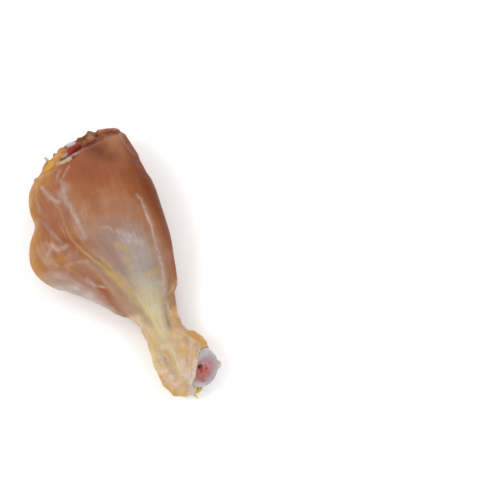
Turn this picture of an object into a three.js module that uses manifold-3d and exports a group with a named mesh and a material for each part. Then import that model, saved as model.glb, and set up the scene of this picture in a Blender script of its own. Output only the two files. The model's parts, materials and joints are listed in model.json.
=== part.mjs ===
// A raw chicken drumstick without its skin, lying on its inner side.
// Millimetres, +Z up. X runs along the leg from the knee to the hock, and Z = 0 is the
// surface that the leg lies on. The meat is one solid with the shin bone running through
// it. A cap of cartilage closes the bone at each end, and the hock's cap has been nicked
// by the knife, so that the red bone shows in it.
import * as THREE from "three";
import { mergeVertices } from "three/addons/utils/BufferGeometryUtils.js";
import Module from "manifold-3d";

const wasm = await Module();
wasm.setup();

// Driving dimensions of the meat: how finely it is faceted, and the gap round the bone
const RINGS_PER_STATION = 3;
const RING_POINTS = 48;
const BONE_GAP = 0.3;

// The leg in plan and in height, from the cut at the knee to the mouth at the hock.
// left and right are the ends of each section in plan, as x, y.
// under and crown are its lowest and highest levels, and wide is the level where it is widest.
// An under below zero is meat that the flat surface has pressed flat.
// crest is how far across from left to right the crown stands, and fall is how round the
// section is from the crown to its left edge: 2 is an ellipse, and less is a straighter slope.
const STATIONS = [
  { left: [-60.6, -3], right: [-61.7, 29.1], under: 8.5, crown: 23.5, wide: 16.6, crest: 0.6, fall: 2 },
  { left: [-57, -9.6], right: [-57, 31.5], under: 4.8, crown: 28.5, wide: 17.5, crest: 0.58, fall: 1.95 },
  { left: [-50, -18.8], right: [-50, 32.4], under: 1, crown: 35, wide: 18, crest: 0.58, fall: 1.9 },
  { left: [-42, -22.5], right: [-42, 32.9], under: -0.6, crown: 38.8, wide: 18, crest: 0.6, fall: 1.85 },
  { left: [-34, -23.6], right: [-34, 33], under: -0.9, crown: 40.2, wide: 17.5, crest: 0.61, fall: 1.8 },
  { left: [-26, -29.8], right: [-26, 32.6], under: -0.9, crown: 40, wide: 17, crest: 0.63, fall: 1.72 },
  { left: [-18, -32.7], right: [-18, 31.5], under: -0.9, crown: 38.8, wide: 16.6, crest: 0.65, fall: 1.68 },
  { left: [-10, -30.6], right: [-10, 30.2], under: -0.8, crown: 36.6, wide: 16.2, crest: 0.66, fall: 1.68 },
  { left: [-2, -24.5], right: [-2, 28.6], under: -0.4, crown: 33.8, wide: 15.4, crest: 0.65, fall: 1.72 },
  { left: [6, -16.9], right: [6, 26], under: 0.4, crown: 30.2, wide: 14.4, crest: 0.62, fall: 1.8 },
  { left: [14, -10.8], right: [14, 23.5], under: 1.5, crown: 26.2, wide: 13.2, crest: 0.58, fall: 1.9 },
  { left: [21.5, -4.6], right: [21.5, 19.2], under: 2.4, crown: 22.8, wide: 12.2, crest: 0.54, fall: 2 },
  { left: [30, -1.6], right: [29.5, 16.4], under: 2.4, crown: 20.6, wide: 11.5, crest: 0.5, fall: 2.1 },
  { left: [38, -1.8], right: [36.5, 17.8], under: 1.2, crown: 21.2, wide: 11.5, crest: 0.5, fall: 2.1 },
  { left: [46, -3.2], right: [41, 20.2], under: -0.2, crown: 22.6, wide: 11.6, crest: 0.5, fall: 2.1 },
  { left: [54, -2.8], right: [44.2, 21.4], under: -0.5, crown: 23.2, wide: 11.6, crest: 0.5, fall: 2.1 },
  { left: [60.2, -0.8], right: [46.6, 21.6], under: -0.3, crown: 23, wide: 11.6, crest: 0.5, fall: 2.1 },
  { left: [63.4, 2.8], right: [48, 21.5], under: 0.3, crown: 22.6, wide: 11.6, crest: 0.5, fall: 2.1 },
  { left: [63.6, 6.2], right: [49, 21.2], under: 1, crown: 22, wide: 11.6, crest: 0.5, fall: 2.1 },
];
const RIGHT_ROUND = 2.25;
const UNDER_ROUND = 2.35;
const KNEE_DOME = { depth: 1.8, rings: 5 };
const MOUTH_RINGS = 2;

// At the mouth the crown is drawn back along the bone, so that the knob stands clear of the meat
const MOUTH_SLANT = { along: [0.67, 0.74], back: 3.4, from: 14 };

// Puts the origin under the middle of the leg
const TO_MIDDLE = [0.25, 0];

// Seams sunk between the muscles, and ridges that stand up from them. side is the view in
// which the points are drawn: x, y from the top or from below, and x, z from the right or
// the left. rise is the height at the line, below zero for a seam, and reach its half-width.
// A line fades in and out over its first and last FADE of its length.
const FADE = 0.14;
const CREASES = {
  calf_seam: {
    side: "top",
    points: [[-43, -14], [-33, -11.7], [-21, -11.3], [-11.5, -10], [-3, -6.4], [8, -2], [18, 0.6], [29, 2.2]],
    rise: -0.9,
    reach: 2.2,
  },
  seam_ledge: {
    side: "top",
    points: [[-36, -8], [-21, -7.6], [-9, -5.4], [1, -0.6], [8, 2], [16, 4]],
    rise: 0.5,
    reach: 2.6,
  },
  outer_furrow: {
    side: "top",
    points: [[-42, -20.5], [-34.5, -19.3], [-26.3, -18], [-18, -16.2], [-9.1, -11.4]],
    rise: -1.2,
    reach: 3.2,
  },
  shin_strip: {
    side: "top",
    points: [[-13, -25.4], [-6.7, -19.2], [2.2, -13.3], [11, -9.4], [19, -5.6], [27, -1.2]],
    rise: -0.6,
    reach: 1.8,
  },
  film_edge: {
    side: "top",
    points: [[-11, -31], [-6.5, -24], [-7.2, -19.5], [-6, -15], [-3.5, -9.4]],
    rise: 0.4,
    reach: 1.3,
  },
  front_crest: {
    side: "top",
    points: [[-34, 25], [-18.6, 22.8], [-7, 21.6], [2.8, 19.9], [12.5, 18], [19.6, 15.4]],
    rise: 0.9,
    reach: 2.2,
  },
  tendon: {
    side: "top",
    points: [[4, 8], [11.1, 8.4], [18.6, 8.8], [24.3, 7.9], [31, 6.2], [41, 5]],
    rise: 1.4,
    reach: 3.4,
  },
  front_gap: {
    side: "top",
    points: [[15, 20], [20, 17], [23.5, 14.2], [29.9, 12.2], [38, 10.6]],
    rise: -0.8,
    reach: 1.9,
  },
  ankle_cord: {
    side: "top",
    points: [[38, 6], [46, 6.6], [52.8, 6.6], [60, 5.4]],
    rise: 0.8,
    reach: 2.0,
  },
  ankle_groove: {
    side: "top",
    points: [[36, 1.6], [45, 2], [52, 2], [59, 1.4]],
    rise: -0.6,
    reach: 1.9,
  },
  knee_fold: {
    side: "top",
    points: [[-51, -13], [-52, -6], [-52.8, 0.3], [-54, 7], [-54.4, 14.5], [-55.8, 23], [-57.6, 30]],
    rise: -0.8,
    reach: 1.6,
  },
  knee_lip: {
    side: "top",
    points: [[-47.4, -12], [-48.6, 0], [-50, 8], [-50.6, 15], [-52.6, 25]],
    rise: 0.6,
    reach: 3.0,
  },
  front_seam: {
    side: "right",
    points: [[-52, 21], [-36, 16], [-18, 12.5], [0, 10.8], [14, 10.4], [26, 11]],
    rise: -1.2,
    reach: 2.6,
  },
  back_seam: {
    side: "left",
    points: [[-50, 12.5], [-38, 10.5], [-24, 9.4], [-8, 8.4], [8, 8], [24, 7.6]],
    rise: -1.2,
    reach: 2.6,
  },
  inner_seam: {
    side: "under",
    points: [[2, 6], [12, 7], [22, 7.5], [32, 7.5], [40, 9]],
    rise: -1.2,
    reach: 2.4,
  },
};

// Round swellings and hollows: where the middle is, its rise and its reach
const LOBES = [
  { side: "top", at: [-45, -15.5], rise: 1.3, reach: 8 },
  { side: "top", at: [-22, -25], rise: 1.5, reach: 8 },
  { side: "top", at: [-8, -21], rise: 0.9, reach: 6 },
  { side: "top", at: [-24, 2], rise: 0.8, reach: 14 },
  { side: "top", at: [-57.5, 22], rise: 1.8, reach: 4.0 },
  { side: "top", at: [-57.5, 14], rise: 1.0, reach: 2.6 },
  { side: "top", at: [-55.5, -6], rise: 1.6, reach: 2.8 },
  { side: "top", at: [-59.5, 6], rise: -3.0, reach: 5.0 },
  { side: "top", at: [-56, -0.5], rise: 1.2, reach: 2.2 },
  { side: "right", at: [17.5, 15], rise: 1.3, reach: 2.6 },
  { side: "top", at: [38.5, 15.6], rise: 1.3, reach: 3.0 },
  { side: "top", at: [45, 12.0], rise: 0.9, reach: 2.6 },
  { side: "top", at: [42.5, -0.6], rise: 0.9, reach: 2.8 },
  { side: "top", at: [51, -0.9], rise: 0.8, reach: 3.0 },
  { side: "top", at: [54.6, 1.6], rise: -0.8, reach: 1.9 },
  { side: "top", at: [58.5, 1.4], rise: 1.0, reach: 2.8 },
  { side: "under", at: [47, 12], rise: 0.8, reach: 3.5 },
];

// The shin bone: its line through the leg, and the radius of its shaft on that line
const BONE_LINE = [
  [-56.5, 6.5, 16],
  [-40, 6.5, 18],
  [-10, 7, 16.5],
  [20, 8, 12],
  [36, 8.4, 11.2],
  [54.9, 13.3, 12],
];
const SHAFT = { radius: 4.1, flare: 2.2, sides: 12, rings: 16 };
const KNEE_HEAD = { at: [-57.2, 6.5, 16.0], radii: [7.2, 8.8, 9.2] };
const HOCK_KNOB = { at: [54.9, 13.3, 12.0], radii: [9.2, 9.2, 9.2] };
const CARTILAGE = { knee: 1.5, hock: 1.3 };
const KNIFE_CUT = { facing: [0.6, 0.43, 0.68], depth: 3.7 };
const MARROW_PIT = { across: -2.1, along: -1.7, radius: 1.5 };
const KNOB_FACETS = [20, 14];

// Catmull-Rom through evenly numbered values, which may be numbers or lists of numbers
function smoothAlong(values, t) {
  const last = values.length - 1;
  const i = Math.min(Math.max(Math.floor(t), 0), last - 1);
  const f = t - i;
  const at = (k) => [values[Math.min(Math.max(k, 0), last)]].flat();
  const [a, b, c, d] = [at(i - 1), at(i), at(i + 1), at(i + 2)];
  return b.map(
    (_, k) =>
      0.5 *
      (2 * b[k] +
        (c[k] - a[k]) * f +
        (2 * a[k] - 5 * b[k] + 4 * c[k] - d[k]) * f * f +
        (3 * b[k] - a[k] - 3 * c[k] + d[k]) * f * f * f),
  );
}

// The section at station t, as a function of the angle round it: 0 is right, 90 degrees the crown
function sectionAt(t) {
  const value = (key) => smoothAlong(STATIONS.map((s) => s[key]), t);
  const left = value("left");
  const right = value("right");
  const [under, crown, wide, crest, fall] = ["under", "crown", "wide", "crest", "fall"].map(
    (key) => value(key)[0],
  );
  return (angle) => {
    const across = Math.cos(angle);
    const upward = Math.sin(angle);
    const round = upward < 0 ? UNDER_ROUND : across < 0 ? fall : RIGHT_ROUND;
    const out = (Math.abs(across) ** round + Math.abs(upward) ** round) ** (-1 / round);
    const share = crest + out * across * (across < 0 ? crest : 1 - crest);
    const height = Math.max(out * upward, 0);
    const slant = THREE.MathUtils.smoothstep(t, MOUTH_SLANT.from, STATIONS.length - 1);
    const back = MOUTH_SLANT.back * height * slant;
    return new THREE.Vector3(
      left[0] + (right[0] - left[0]) * share - back * MOUTH_SLANT.along[0],
      left[1] + (right[1] - left[1]) * share - back * MOUTH_SLANT.along[1],
      wide + out * upward * (upward < 0 ? wide - under : crown - wide),
    );
  };
}

// The surface before its seams: rings of points from the knee to the mouth
function plainRings(rings, points) {
  const last = STATIONS.length - 1;
  return Array.from({ length: rings + 1 }, (_, i) => {
    const section = sectionAt((last * i) / rings);
    return Array.from({ length: points }, (_, j) => section((2 * Math.PI * j) / points));
  });
}

// A point drawn in one view is laid on the plain surface that faces that view
const VIEWS = {
  top: { flat: (p) => [p.x, p.y], faces: (angle) => Math.sin(angle) > -0.05 },
  under: { flat: (p) => [p.x, p.y], faces: (angle) => Math.sin(angle) < 0.05 },
  right: { flat: (p) => [p.x, p.z], faces: (angle) => Math.cos(angle) > -0.05 },
  left: { flat: (p) => [p.x, p.z], faces: (angle) => Math.cos(angle) < 0.05 },
};
const PATTERN_RINGS = 200;
const PATTERN_POINTS = 160;
const PATTERN = plainRings(PATTERN_RINGS, PATTERN_POINTS);

function layOn(side, [a, b]) {
  const { flat, faces } = VIEWS[side];
  let best = null;
  let nearest = Infinity;
  for (const ring of PATTERN)
    ring.forEach((p, j) => {
      if (!faces((2 * Math.PI * j) / PATTERN_POINTS)) return;
      const [u, v] = flat(p);
      const distance = (u - a) ** 2 + (v - b) ** 2;
      if (distance < nearest) [best, nearest] = [p, distance];
    });
  return best;
}

// Each crease as short straight steps on the surface
const CREASE_STEPS = 5;
const LAID_CREASES = Object.values(CREASES).map(({ side, points, rise, reach }) => {
  const count = (points.length - 1) * CREASE_STEPS;
  const laid = (_, i) => layOn(side, smoothAlong(points, i / CREASE_STEPS));
  return { line: Array.from({ length: count + 1 }, laid), rise, reach };
});
const LAID_LOBES = LOBES.map(({ side, at, rise, reach }) => ({ middle: layOn(side, at), rise, reach }));

// A crease or lobe fades out as a bell curve
const bell = (distance, reach) => Math.exp(-((distance / reach) ** 2));

// How far a point is from a line, and how far along the line the nearest place is, from 0 to 1
function nearestOnLine(p, line) {
  const nearest = new THREE.Vector3();
  const piece = new THREE.Line3();
  let distance = Infinity;
  let along = 0;
  for (let i = 1; i < line.length; i++) {
    piece.set(line[i - 1], line[i]).closestPointToPoint(p, true, nearest);
    const d = nearest.distanceTo(p);
    if (d >= distance) continue;
    distance = d;
    along = (i - 1 + piece.closestPointToPointParameter(p, true)) / (line.length - 1);
  }
  return { distance, along };
}

// How far the muscles, seams, tendons and lumps raise the surface at a point
function reliefAt(p) {
  let height = 0;
  for (const { line, rise, reach } of LAID_CREASES) {
    const { distance, along } = nearestOnLine(p, line);
    const ends = THREE.MathUtils.smoothstep(Math.min(along, 1 - along), 0, FADE);
    height += rise * ends * bell(distance, reach);
  }
  for (const { middle, rise, reach } of LAID_LOBES) height += rise * bell(middle.distanceTo(p), reach);
  return height;
}

// Lumps of fat and loose tissue round the hock and the knee, as waves crossing each other
const LUMPS = { height: 0.3, wave: 8.5, hock_from: 32, knee_to: -52, fade: 8 };

function lumpsAt(p) {
  const hock = THREE.MathUtils.smoothstep(p.x, LUMPS.hock_from, LUMPS.hock_from + LUMPS.fade);
  const knee = 1 - THREE.MathUtils.smoothstep(p.x, LUMPS.knee_to - LUMPS.fade, LUMPS.knee_to);
  const turn = (2 * Math.PI) / LUMPS.wave;
  const waves =
    Math.sin(turn * (p.x + 0.6 * p.y)) * Math.sin(turn * (p.y - 0.4 * p.z)) +
    Math.sin(turn * 0.7 * (p.z + 0.5 * p.x)) * Math.sin(turn * 0.8 * (p.y + 0.3 * p.x));
  return LUMPS.height * (hock + knee) * waves;
}

// Moves each ring point out along the surface's normal, and presses the underside flat at Z = 0
function withRelief(rings) {
  const count = rings[0].length;
  return rings.map((ring, i) =>
    ring.map((p, j) => {
      const along = rings[Math.min(i + 1, rings.length - 1)][j].clone().sub(rings[Math.max(i - 1, 0)][j]);
      const round = ring[(j + 1) % count].clone().sub(ring[(j + count - 1) % count]);
      const normal = round.cross(along).normalize();
      const moved = p.clone().addScaledVector(normal, reliefAt(p) + lumpsAt(p));
      moved.z = Math.max(moved.z, 0);
      return moved;
    }),
  );
}

// Closed solid through rings of equal length, with a point at each end
function solidOfRings(rings, start, end) {
  const count = rings[0].length;
  const vertices = [start, ...rings.flat(), end].flatMap((p) => [p.x, p.y, p.z]);
  const last = rings.length * count + 1;
  const index = [];
  const at = (i, j) => 1 + i * count + (j % count);
  for (let j = 0; j < count; j++) {
    index.push(0, at(0, j + 1), at(0, j));
    index.push(last, at(rings.length - 1, j), at(rings.length - 1, j + 1));
    for (let i = 0; i + 1 < rings.length; i++) {
      index.push(at(i, j), at(i, j + 1), at(i + 1, j));
      index.push(at(i, j + 1), at(i + 1, j + 1), at(i + 1, j));
    }
  }
  return new wasm.Manifold(
    new wasm.Mesh({
      numProp: 3,
      vertProperties: new Float32Array(vertices),
      triVerts: new Uint32Array(index),
    }),
  );
}

// A ring drawn in towards a middle point, and moved
function drawnIn(ring, middle, scale, move) {
  return ring.map((p) => p.clone().sub(middle).multiplyScalar(scale).add(middle).add(move));
}

const middleOf = (ring) =>
  ring.reduce((sum, p) => sum.add(p), new THREE.Vector3()).divideScalar(ring.length);

function meatBody() {
  const rings = withRelief(plainRings(Math.round(RINGS_PER_STATION * (STATIONS.length - 1)), RING_POINTS));
  const kneeMiddle = middleOf(rings[0]);
  const dome = Array.from({ length: KNEE_DOME.rings }, (_, k) => {
    const turn = (0.5 * Math.PI * (KNEE_DOME.rings - k)) / (KNEE_DOME.rings + 1);
    const move = new THREE.Vector3(-KNEE_DOME.depth * Math.sin(turn), 0, 0);
    return drawnIn(rings[0], kneeMiddle, Math.cos(turn) ** 0.8, move);
  });
  const mouth = rings.at(-1);
  const mouthMiddle = middleOf(mouth);
  const inward = Array.from({ length: MOUTH_RINGS }, (_, k) =>
    drawnIn(mouth, mouthMiddle, 1 - (k + 1) / (MOUTH_RINGS + 1), new THREE.Vector3()),
  );
  const kneePole = kneeMiddle.clone().add(new THREE.Vector3(-KNEE_DOME.depth, 0, 0));
  return solidOfRings([...dome, ...rings, ...inward], kneePole, mouthMiddle);
}

// A three.js geometry as a solid that can be joined and cut
function solidOfGeometry(geometry) {
  geometry.deleteAttribute("normal");
  geometry.deleteAttribute("uv");
  const merged = mergeVertices(geometry, 1e-4);
  return new wasm.Manifold(
    new wasm.Mesh({
      numProp: 3,
      vertProperties: merged.attributes.position.array,
      triVerts: new Uint32Array(merged.index.array),
    }),
  );
}

function ball({ at, radii }, grow = 0) {
  const geometry = new THREE.SphereGeometry(1, ...KNOB_FACETS)
    .scale(...radii.map((r) => r + grow))
    .translate(...at);
  return solidOfGeometry(geometry);
}

// A large box whose one face passes through a point and looks along a direction
function slabBeyond(point, facing) {
  const size = 60;
  const geometry = new THREE.BoxGeometry(size, size, size).translate(0, 0, size / 2);
  const turn = new THREE.Quaternion().setFromUnitVectors(new THREE.Vector3(0, 0, 1), facing);
  geometry.applyQuaternion(turn).translate(point.x, point.y, point.z);
  return solidOfGeometry(geometry);
}

// The shaft flares as it meets the head and the knob
function shaft(grow) {
  const line = new THREE.CatmullRomCurve3(BONE_LINE.map((p) => new THREE.Vector3(...p)));
  const up = new THREE.Vector3(0, 0, 1);
  const rings = Array.from({ length: SHAFT.rings + 1 }, (_, i) => {
    const s = i / SHAFT.rings;
    const middle = line.getPointAt(s);
    const across = up.clone().cross(line.getTangentAt(s)).normalize();
    const radius = grow + SHAFT.radius + SHAFT.flare * Math.abs(2 * s - 1) ** 5;
    return Array.from({ length: SHAFT.sides }, (_, j) => {
      const angle = (2 * Math.PI * j) / SHAFT.sides;
      return middle
        .clone()
        .addScaledVector(across, radius * Math.cos(angle))
        .addScaledVector(up, radius * Math.sin(angle));
    });
  });
  return solidOfRings(rings, middleOf(rings[0]), middleOf(rings.at(-1)));
}

const cutFacing = new THREE.Vector3(...KNIFE_CUT.facing).normalize();
const knobMiddle = new THREE.Vector3(...HOCK_KNOB.at);
const cutPoint = knobMiddle.clone().addScaledVector(cutFacing, HOCK_KNOB.radii[0] - KNIFE_CUT.depth);
const knifeAway = slabBeyond(cutPoint, cutFacing);

// The cartilage ends a little way behind the knob and the head
function capOver(head, thickness, towardsShaft) {
  const behind = new THREE.Vector3(...head.at).addScaledVector(towardsShaft, 0.35 * head.radii[0]);
  return ball(head).subtract(ball(head, -thickness)).subtract(slabBeyond(behind, towardsShaft));
}

const kneeInward = new THREE.Vector3(1, 0, 0);
const hockInward = new THREE.Vector3(-0.78, -0.62, 0).normalize();

function shinBone() {
  const pitAcross = new THREE.Vector3(0, 1, 0).cross(cutFacing).normalize();
  const pitAlong = cutFacing.clone().cross(pitAcross);
  const pitMiddle = cutPoint
    .clone()
    .addScaledVector(pitAcross, MARROW_PIT.across)
    .addScaledVector(pitAlong, MARROW_PIT.along);
  const pit = ball({ at: pitMiddle.toArray(), radii: [1, 1, 1].map(() => MARROW_PIT.radius) });
  return shaft(0)
    .add(ball(KNEE_HEAD, -CARTILAGE.knee - BONE_GAP))
    .add(ball(HOCK_KNOB, -CARTILAGE.hock - BONE_GAP))
    .subtract(knifeAway)
    .subtract(pit);
}

const hockCartilage = () =>
  capOver(HOCK_KNOB, CARTILAGE.hock, hockInward).subtract(knifeAway).subtract(shaft(BONE_GAP));
const kneeCartilage = () => capOver(KNEE_HEAD, CARTILAGE.knee, kneeInward).subtract(shaft(BONE_GAP));

function legMeat() {
  const channel = shaft(BONE_GAP).add(ball(KNEE_HEAD, BONE_GAP)).add(ball(HOCK_KNOB, BONE_GAP));
  return meatBody().subtract(channel);
}

// Cutting can leave a loose scrap, so the largest body is kept
const largestBody = (solid) => solid.decompose().sort((a, b) => b.volume() - a.volume())[0];

// A solid as a named mesh with its own material
function meshOf(name, solid, material) {
  const { vertProperties, triVerts, numProp } = largestBody(solid).getMesh();
  const geometry = new THREE.BufferGeometry();
  geometry.setAttribute("position", new THREE.BufferAttribute(vertProperties.slice(), numProp));
  geometry.setIndex(new THREE.BufferAttribute(triVerts.slice(), 1));
  geometry.computeVertexNormals();
  const mesh = new THREE.Mesh(geometry, new THREE.MeshStandardMaterial({ metalness: 0, ...material }));
  mesh.name = name;
  return mesh;
}

const leg = new THREE.Group();
leg.name = "drumstick";
leg.position.set(...TO_MIDDLE, 0);
leg.add(
  meshOf("leg_meat", legMeat(), { color: 0xb57a58, roughness: 0.35 }),
  meshOf("shin_bone", shinBone(), { color: 0xa8433c, roughness: 0.5 }),
  meshOf("hock_cartilage", hockCartilage(), { color: 0xc9c8cc, roughness: 0.3 }),
  meshOf("knee_cartilage", kneeCartilage(), { color: 0xd8d4cc, roughness: 0.3 }),
);

export default leg;
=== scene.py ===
# %% [markdown]
# # A raw chicken drumstick without its skin
# The leg lies on its inner side. Its parts are one muscle belly under thin films, a tendon and
# fatty tissue round the ankle, and the shin bone with a cap of cartilage at each end.
# The packed CAD model is loaded first. It fixes where everything goes, and its box is kept.

# %% Load the frame
import json
import math

import bpy
import numpy as np
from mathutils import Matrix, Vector

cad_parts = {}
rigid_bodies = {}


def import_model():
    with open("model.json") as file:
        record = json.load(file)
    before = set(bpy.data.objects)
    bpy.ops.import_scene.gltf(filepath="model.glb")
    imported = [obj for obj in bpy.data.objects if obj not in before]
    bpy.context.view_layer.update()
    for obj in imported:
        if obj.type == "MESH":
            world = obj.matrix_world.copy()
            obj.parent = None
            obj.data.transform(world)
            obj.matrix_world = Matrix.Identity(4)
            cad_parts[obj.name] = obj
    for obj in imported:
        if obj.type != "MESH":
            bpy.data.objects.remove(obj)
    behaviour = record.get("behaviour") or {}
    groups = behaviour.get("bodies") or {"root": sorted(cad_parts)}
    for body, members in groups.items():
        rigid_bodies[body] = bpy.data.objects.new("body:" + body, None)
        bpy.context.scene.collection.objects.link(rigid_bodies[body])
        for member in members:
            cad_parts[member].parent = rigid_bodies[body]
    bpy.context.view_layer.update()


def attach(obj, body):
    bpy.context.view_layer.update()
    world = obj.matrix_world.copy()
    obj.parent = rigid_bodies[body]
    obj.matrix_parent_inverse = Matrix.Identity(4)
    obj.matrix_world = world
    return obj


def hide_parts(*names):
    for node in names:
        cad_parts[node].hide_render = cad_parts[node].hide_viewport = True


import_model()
MM = 0.001

# %% [markdown]
# ## The camera
# The leg is seen from almost straight above. A long lens keeps its ends true to size. The
# camera is placed by the direction that it looks from and its distance to a point near the floor.

# %% Camera
VIEW_TURN, VIEW_RISE = math.radians(63), math.radians(72)
AIM = Vector((12.337, 56.04, 15)) * MM
DISTANCE = 511.06 * MM
LENS, SENSOR = 85, 36
BACK = Vector((
    math.sin(VIEW_TURN) * math.cos(VIEW_RISE),
    -math.cos(VIEW_TURN) * math.cos(VIEW_RISE),
    math.sin(VIEW_RISE),
))
RIGHT = Vector((math.cos(VIEW_TURN), math.sin(VIEW_TURN), 0))
UP = BACK.cross(RIGHT)
camera = bpy.data.objects.new("camera", bpy.data.cameras.new("camera"))
camera.location = AIM + BACK * DISTANCE
camera.rotation_mode = "QUATERNION"
camera.rotation_quaternion = BACK.to_track_quat("Z", "Y")
camera.data.lens = LENS
camera.data.sensor_width = SENSOR
bpy.context.scene.collection.objects.link(camera)
bpy.context.scene.camera = camera
print("camera at", [round(v, 3) for v in camera.location])

# %% [markdown]
# ## Floor and light
# A white table in a white room gives raw meat its soft, even light. The room is a little brighter
# than white, so that the table shows as plain paper white. Two soft boxes stand to the left and
# the right of the camera: they make wet highlights on the ridges, and more are painted on the meat.

# %% Floor
bpy.context.scene.view_settings.view_transform = "Standard"


def link(thing):
    """Puts an object into the scene."""
    bpy.context.scene.collection.objects.link(thing)
    return thing


FLOOR_HALF, BELOW = 1.5, -0.0001
TABLE_WHITE, TABLE_ROUGH = 0.95, 0.8
floor_mesh = bpy.data.meshes.new("floor")
corners = [(x * FLOOR_HALF, y * FLOOR_HALF, BELOW) for x, y in ((-1, -1), (1, -1), (1, 1), (-1, 1))]
floor_mesh.from_pydata(corners, [], [(0, 1, 2, 3)])
floor = link(bpy.data.objects.new("floor", floor_mesh))
table = bpy.data.materials.new("white_table")
table.use_nodes = True
table_shader = table.node_tree.nodes["Principled BSDF"]
table_shader.inputs["Base Color"].default_value = (*[TABLE_WHITE] * 3, 1)
table_shader.inputs["Roughness"].default_value = TABLE_ROUGH
floor_mesh.materials.append(table)
print("table:", 2 * FLOOR_HALF, "m square")

# %% Light
ROOM_LIGHT = 1.1
world = bpy.data.worlds.new("white_room")
world.use_nodes = True
world.node_tree.nodes["Background"].inputs["Color"].default_value = (1, 1, 1, 1)
world.node_tree.nodes["Background"].inputs["Strength"].default_value = ROOM_LIGHT
bpy.context.scene.world = world


def soft_box(name, sideways, upward, towards, width, watts):
    """A square lamp a metre away and aimed at the leg, in a direction of the picture."""
    lamp = bpy.data.lights.new(name, "AREA")
    lamp.size = width
    lamp.energy = watts
    box = link(bpy.data.objects.new(name, lamp))
    direction = (RIGHT * sideways + UP * upward + BACK * towards).normalized()
    box.location = direction
    box.rotation_mode = "QUATERNION"
    box.rotation_quaternion = direction.to_track_quat("Z", "Y")


soft_box("box_left", sideways=-0.5, upward=0.18, towards=0.85, width=0.3, watts=2.4)
soft_box("box_right", sideways=0.52, upward=0.3, towards=0.8, width=0.25, watts=0.9)

# %% [markdown]
# ## Curves and noise
# Meat has no straight line in it. Everything below is built from three helpers: a smooth curve
# through a few given rows of numbers, the distance to a line, and a smooth random field that is
# the same on each run, because it comes from a hash of the place, not from a random generator.

# %% A smooth curve and a smooth step


def smooth_along(rows, t):
    """Catmull-Rom curve through evenly numbered rows, at place t."""
    rows = np.asarray(rows, float)
    last = len(rows) - 1
    i = np.clip(np.floor(t).astype(int), 0, last - 1)
    f = (t - i)[..., None]
    a, b, c, d = (rows[np.clip(i + k, 0, last)] for k in (-1, 0, 1, 2))
    cubic = (2 * a - 5 * b + 4 * c - d) * f**2 + (3 * b - a - 3 * c + d) * f**3
    return 0.5 * (2 * b + (c - a) * f + cubic)


def fade(x, start, end):
    """0 before start, 1 after end, and smooth between them."""
    s = np.clip((np.asarray(x, float) - start) / (end - start), 0, 1)
    return s * s * (3 - 2 * s)


print("a fade from 0 to 4 gives", fade(range(5), 0, 4).round(2))

# %% Noise
# A hash turns the place of a lattice point into a number from 0 to HASH_TOP
HASH_STEPS = (73856093, 19349663, 83492791, 668265263)
HASH_STIR, HASH_MASK, HASH_TOP = 1274126177, 0x7FFFFFFF, 0xFFFF


def noise(points, size, seed):
    """Random values on a lattice of that size in mm, joined smoothly: -1 to 1."""
    q = np.asarray(points, float) / size
    corner = np.floor(q).astype(np.int64)
    f = q - corner
    f = f * f * (3 - 2 * f)
    total = np.zeros(q.shape[:-1])
    for step in np.ndindex(2, 2, 2):
        x, y, z = np.moveaxis(corner + step, -1, 0)
        n = (x * HASH_STEPS[0]) ^ (y * HASH_STEPS[1]) ^ (z * HASH_STEPS[2]) ^ (seed * HASH_STEPS[3])
        n = ((n ^ (n >> 13)) * HASH_STIR) & HASH_MASK
        n = (n ^ (n >> 15)) & HASH_TOP
        weight = np.prod(np.where(step, f, 1 - f), axis=-1)
        total += weight * (n / (HASH_TOP / 2) - 1)
    return total


def cloud(points, size, seed, octaves=3):
    """Noise with finer and finer noise on it."""
    parts = [noise(points, size / 2**k, seed + k) / 2**k for k in range(octaves)]
    return sum(parts) / sum(0.5**k for k in range(octaves))


print("noise at three places:", noise(np.eye(3) * 7.3, 3, 1).round(2))

# %% How far a point is from a line


def near_line(points, line):
    """Distance of each point to a line, and the place on it from 0 to 1."""
    gap = np.linalg.norm(points - line[0], axis=1)
    along = np.zeros(len(points))
    for i in range(1, len(line)):
        a, d = line[i - 1], line[i] - line[i - 1]
        s = np.clip((points - a) @ d / max(d @ d, 1e-9), 0, 1)
        new = np.linalg.norm(points - a - s[:, None] * d, axis=1)
        closer = new < gap
        gap[closer] = new[closer]
        along[closer] = (i - 1 + s[closer]) / (len(line) - 1)
    return gap, along


def spaced(values, along):
    """One value, or several spread evenly along a line, at the places along it."""
    return np.interp(along, np.linspace(0, 1, np.size(values)), np.atleast_1d(values))


print("1, 2 and 5 spread along a line:", spaced((1, 2, 5), np.linspace(0, 1, 5)))

# %% [markdown]
# ## The meat's sections
# The belly swells from the knee, narrows to the neck above the ankle and opens round the bone at
# the hock. It could be sculpted, but it has to keep the size and place of the CAD solid, so it is
# lofted through the same sections, only with many more points, so that seams, fibres and torn
# edges can be real relief.

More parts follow.
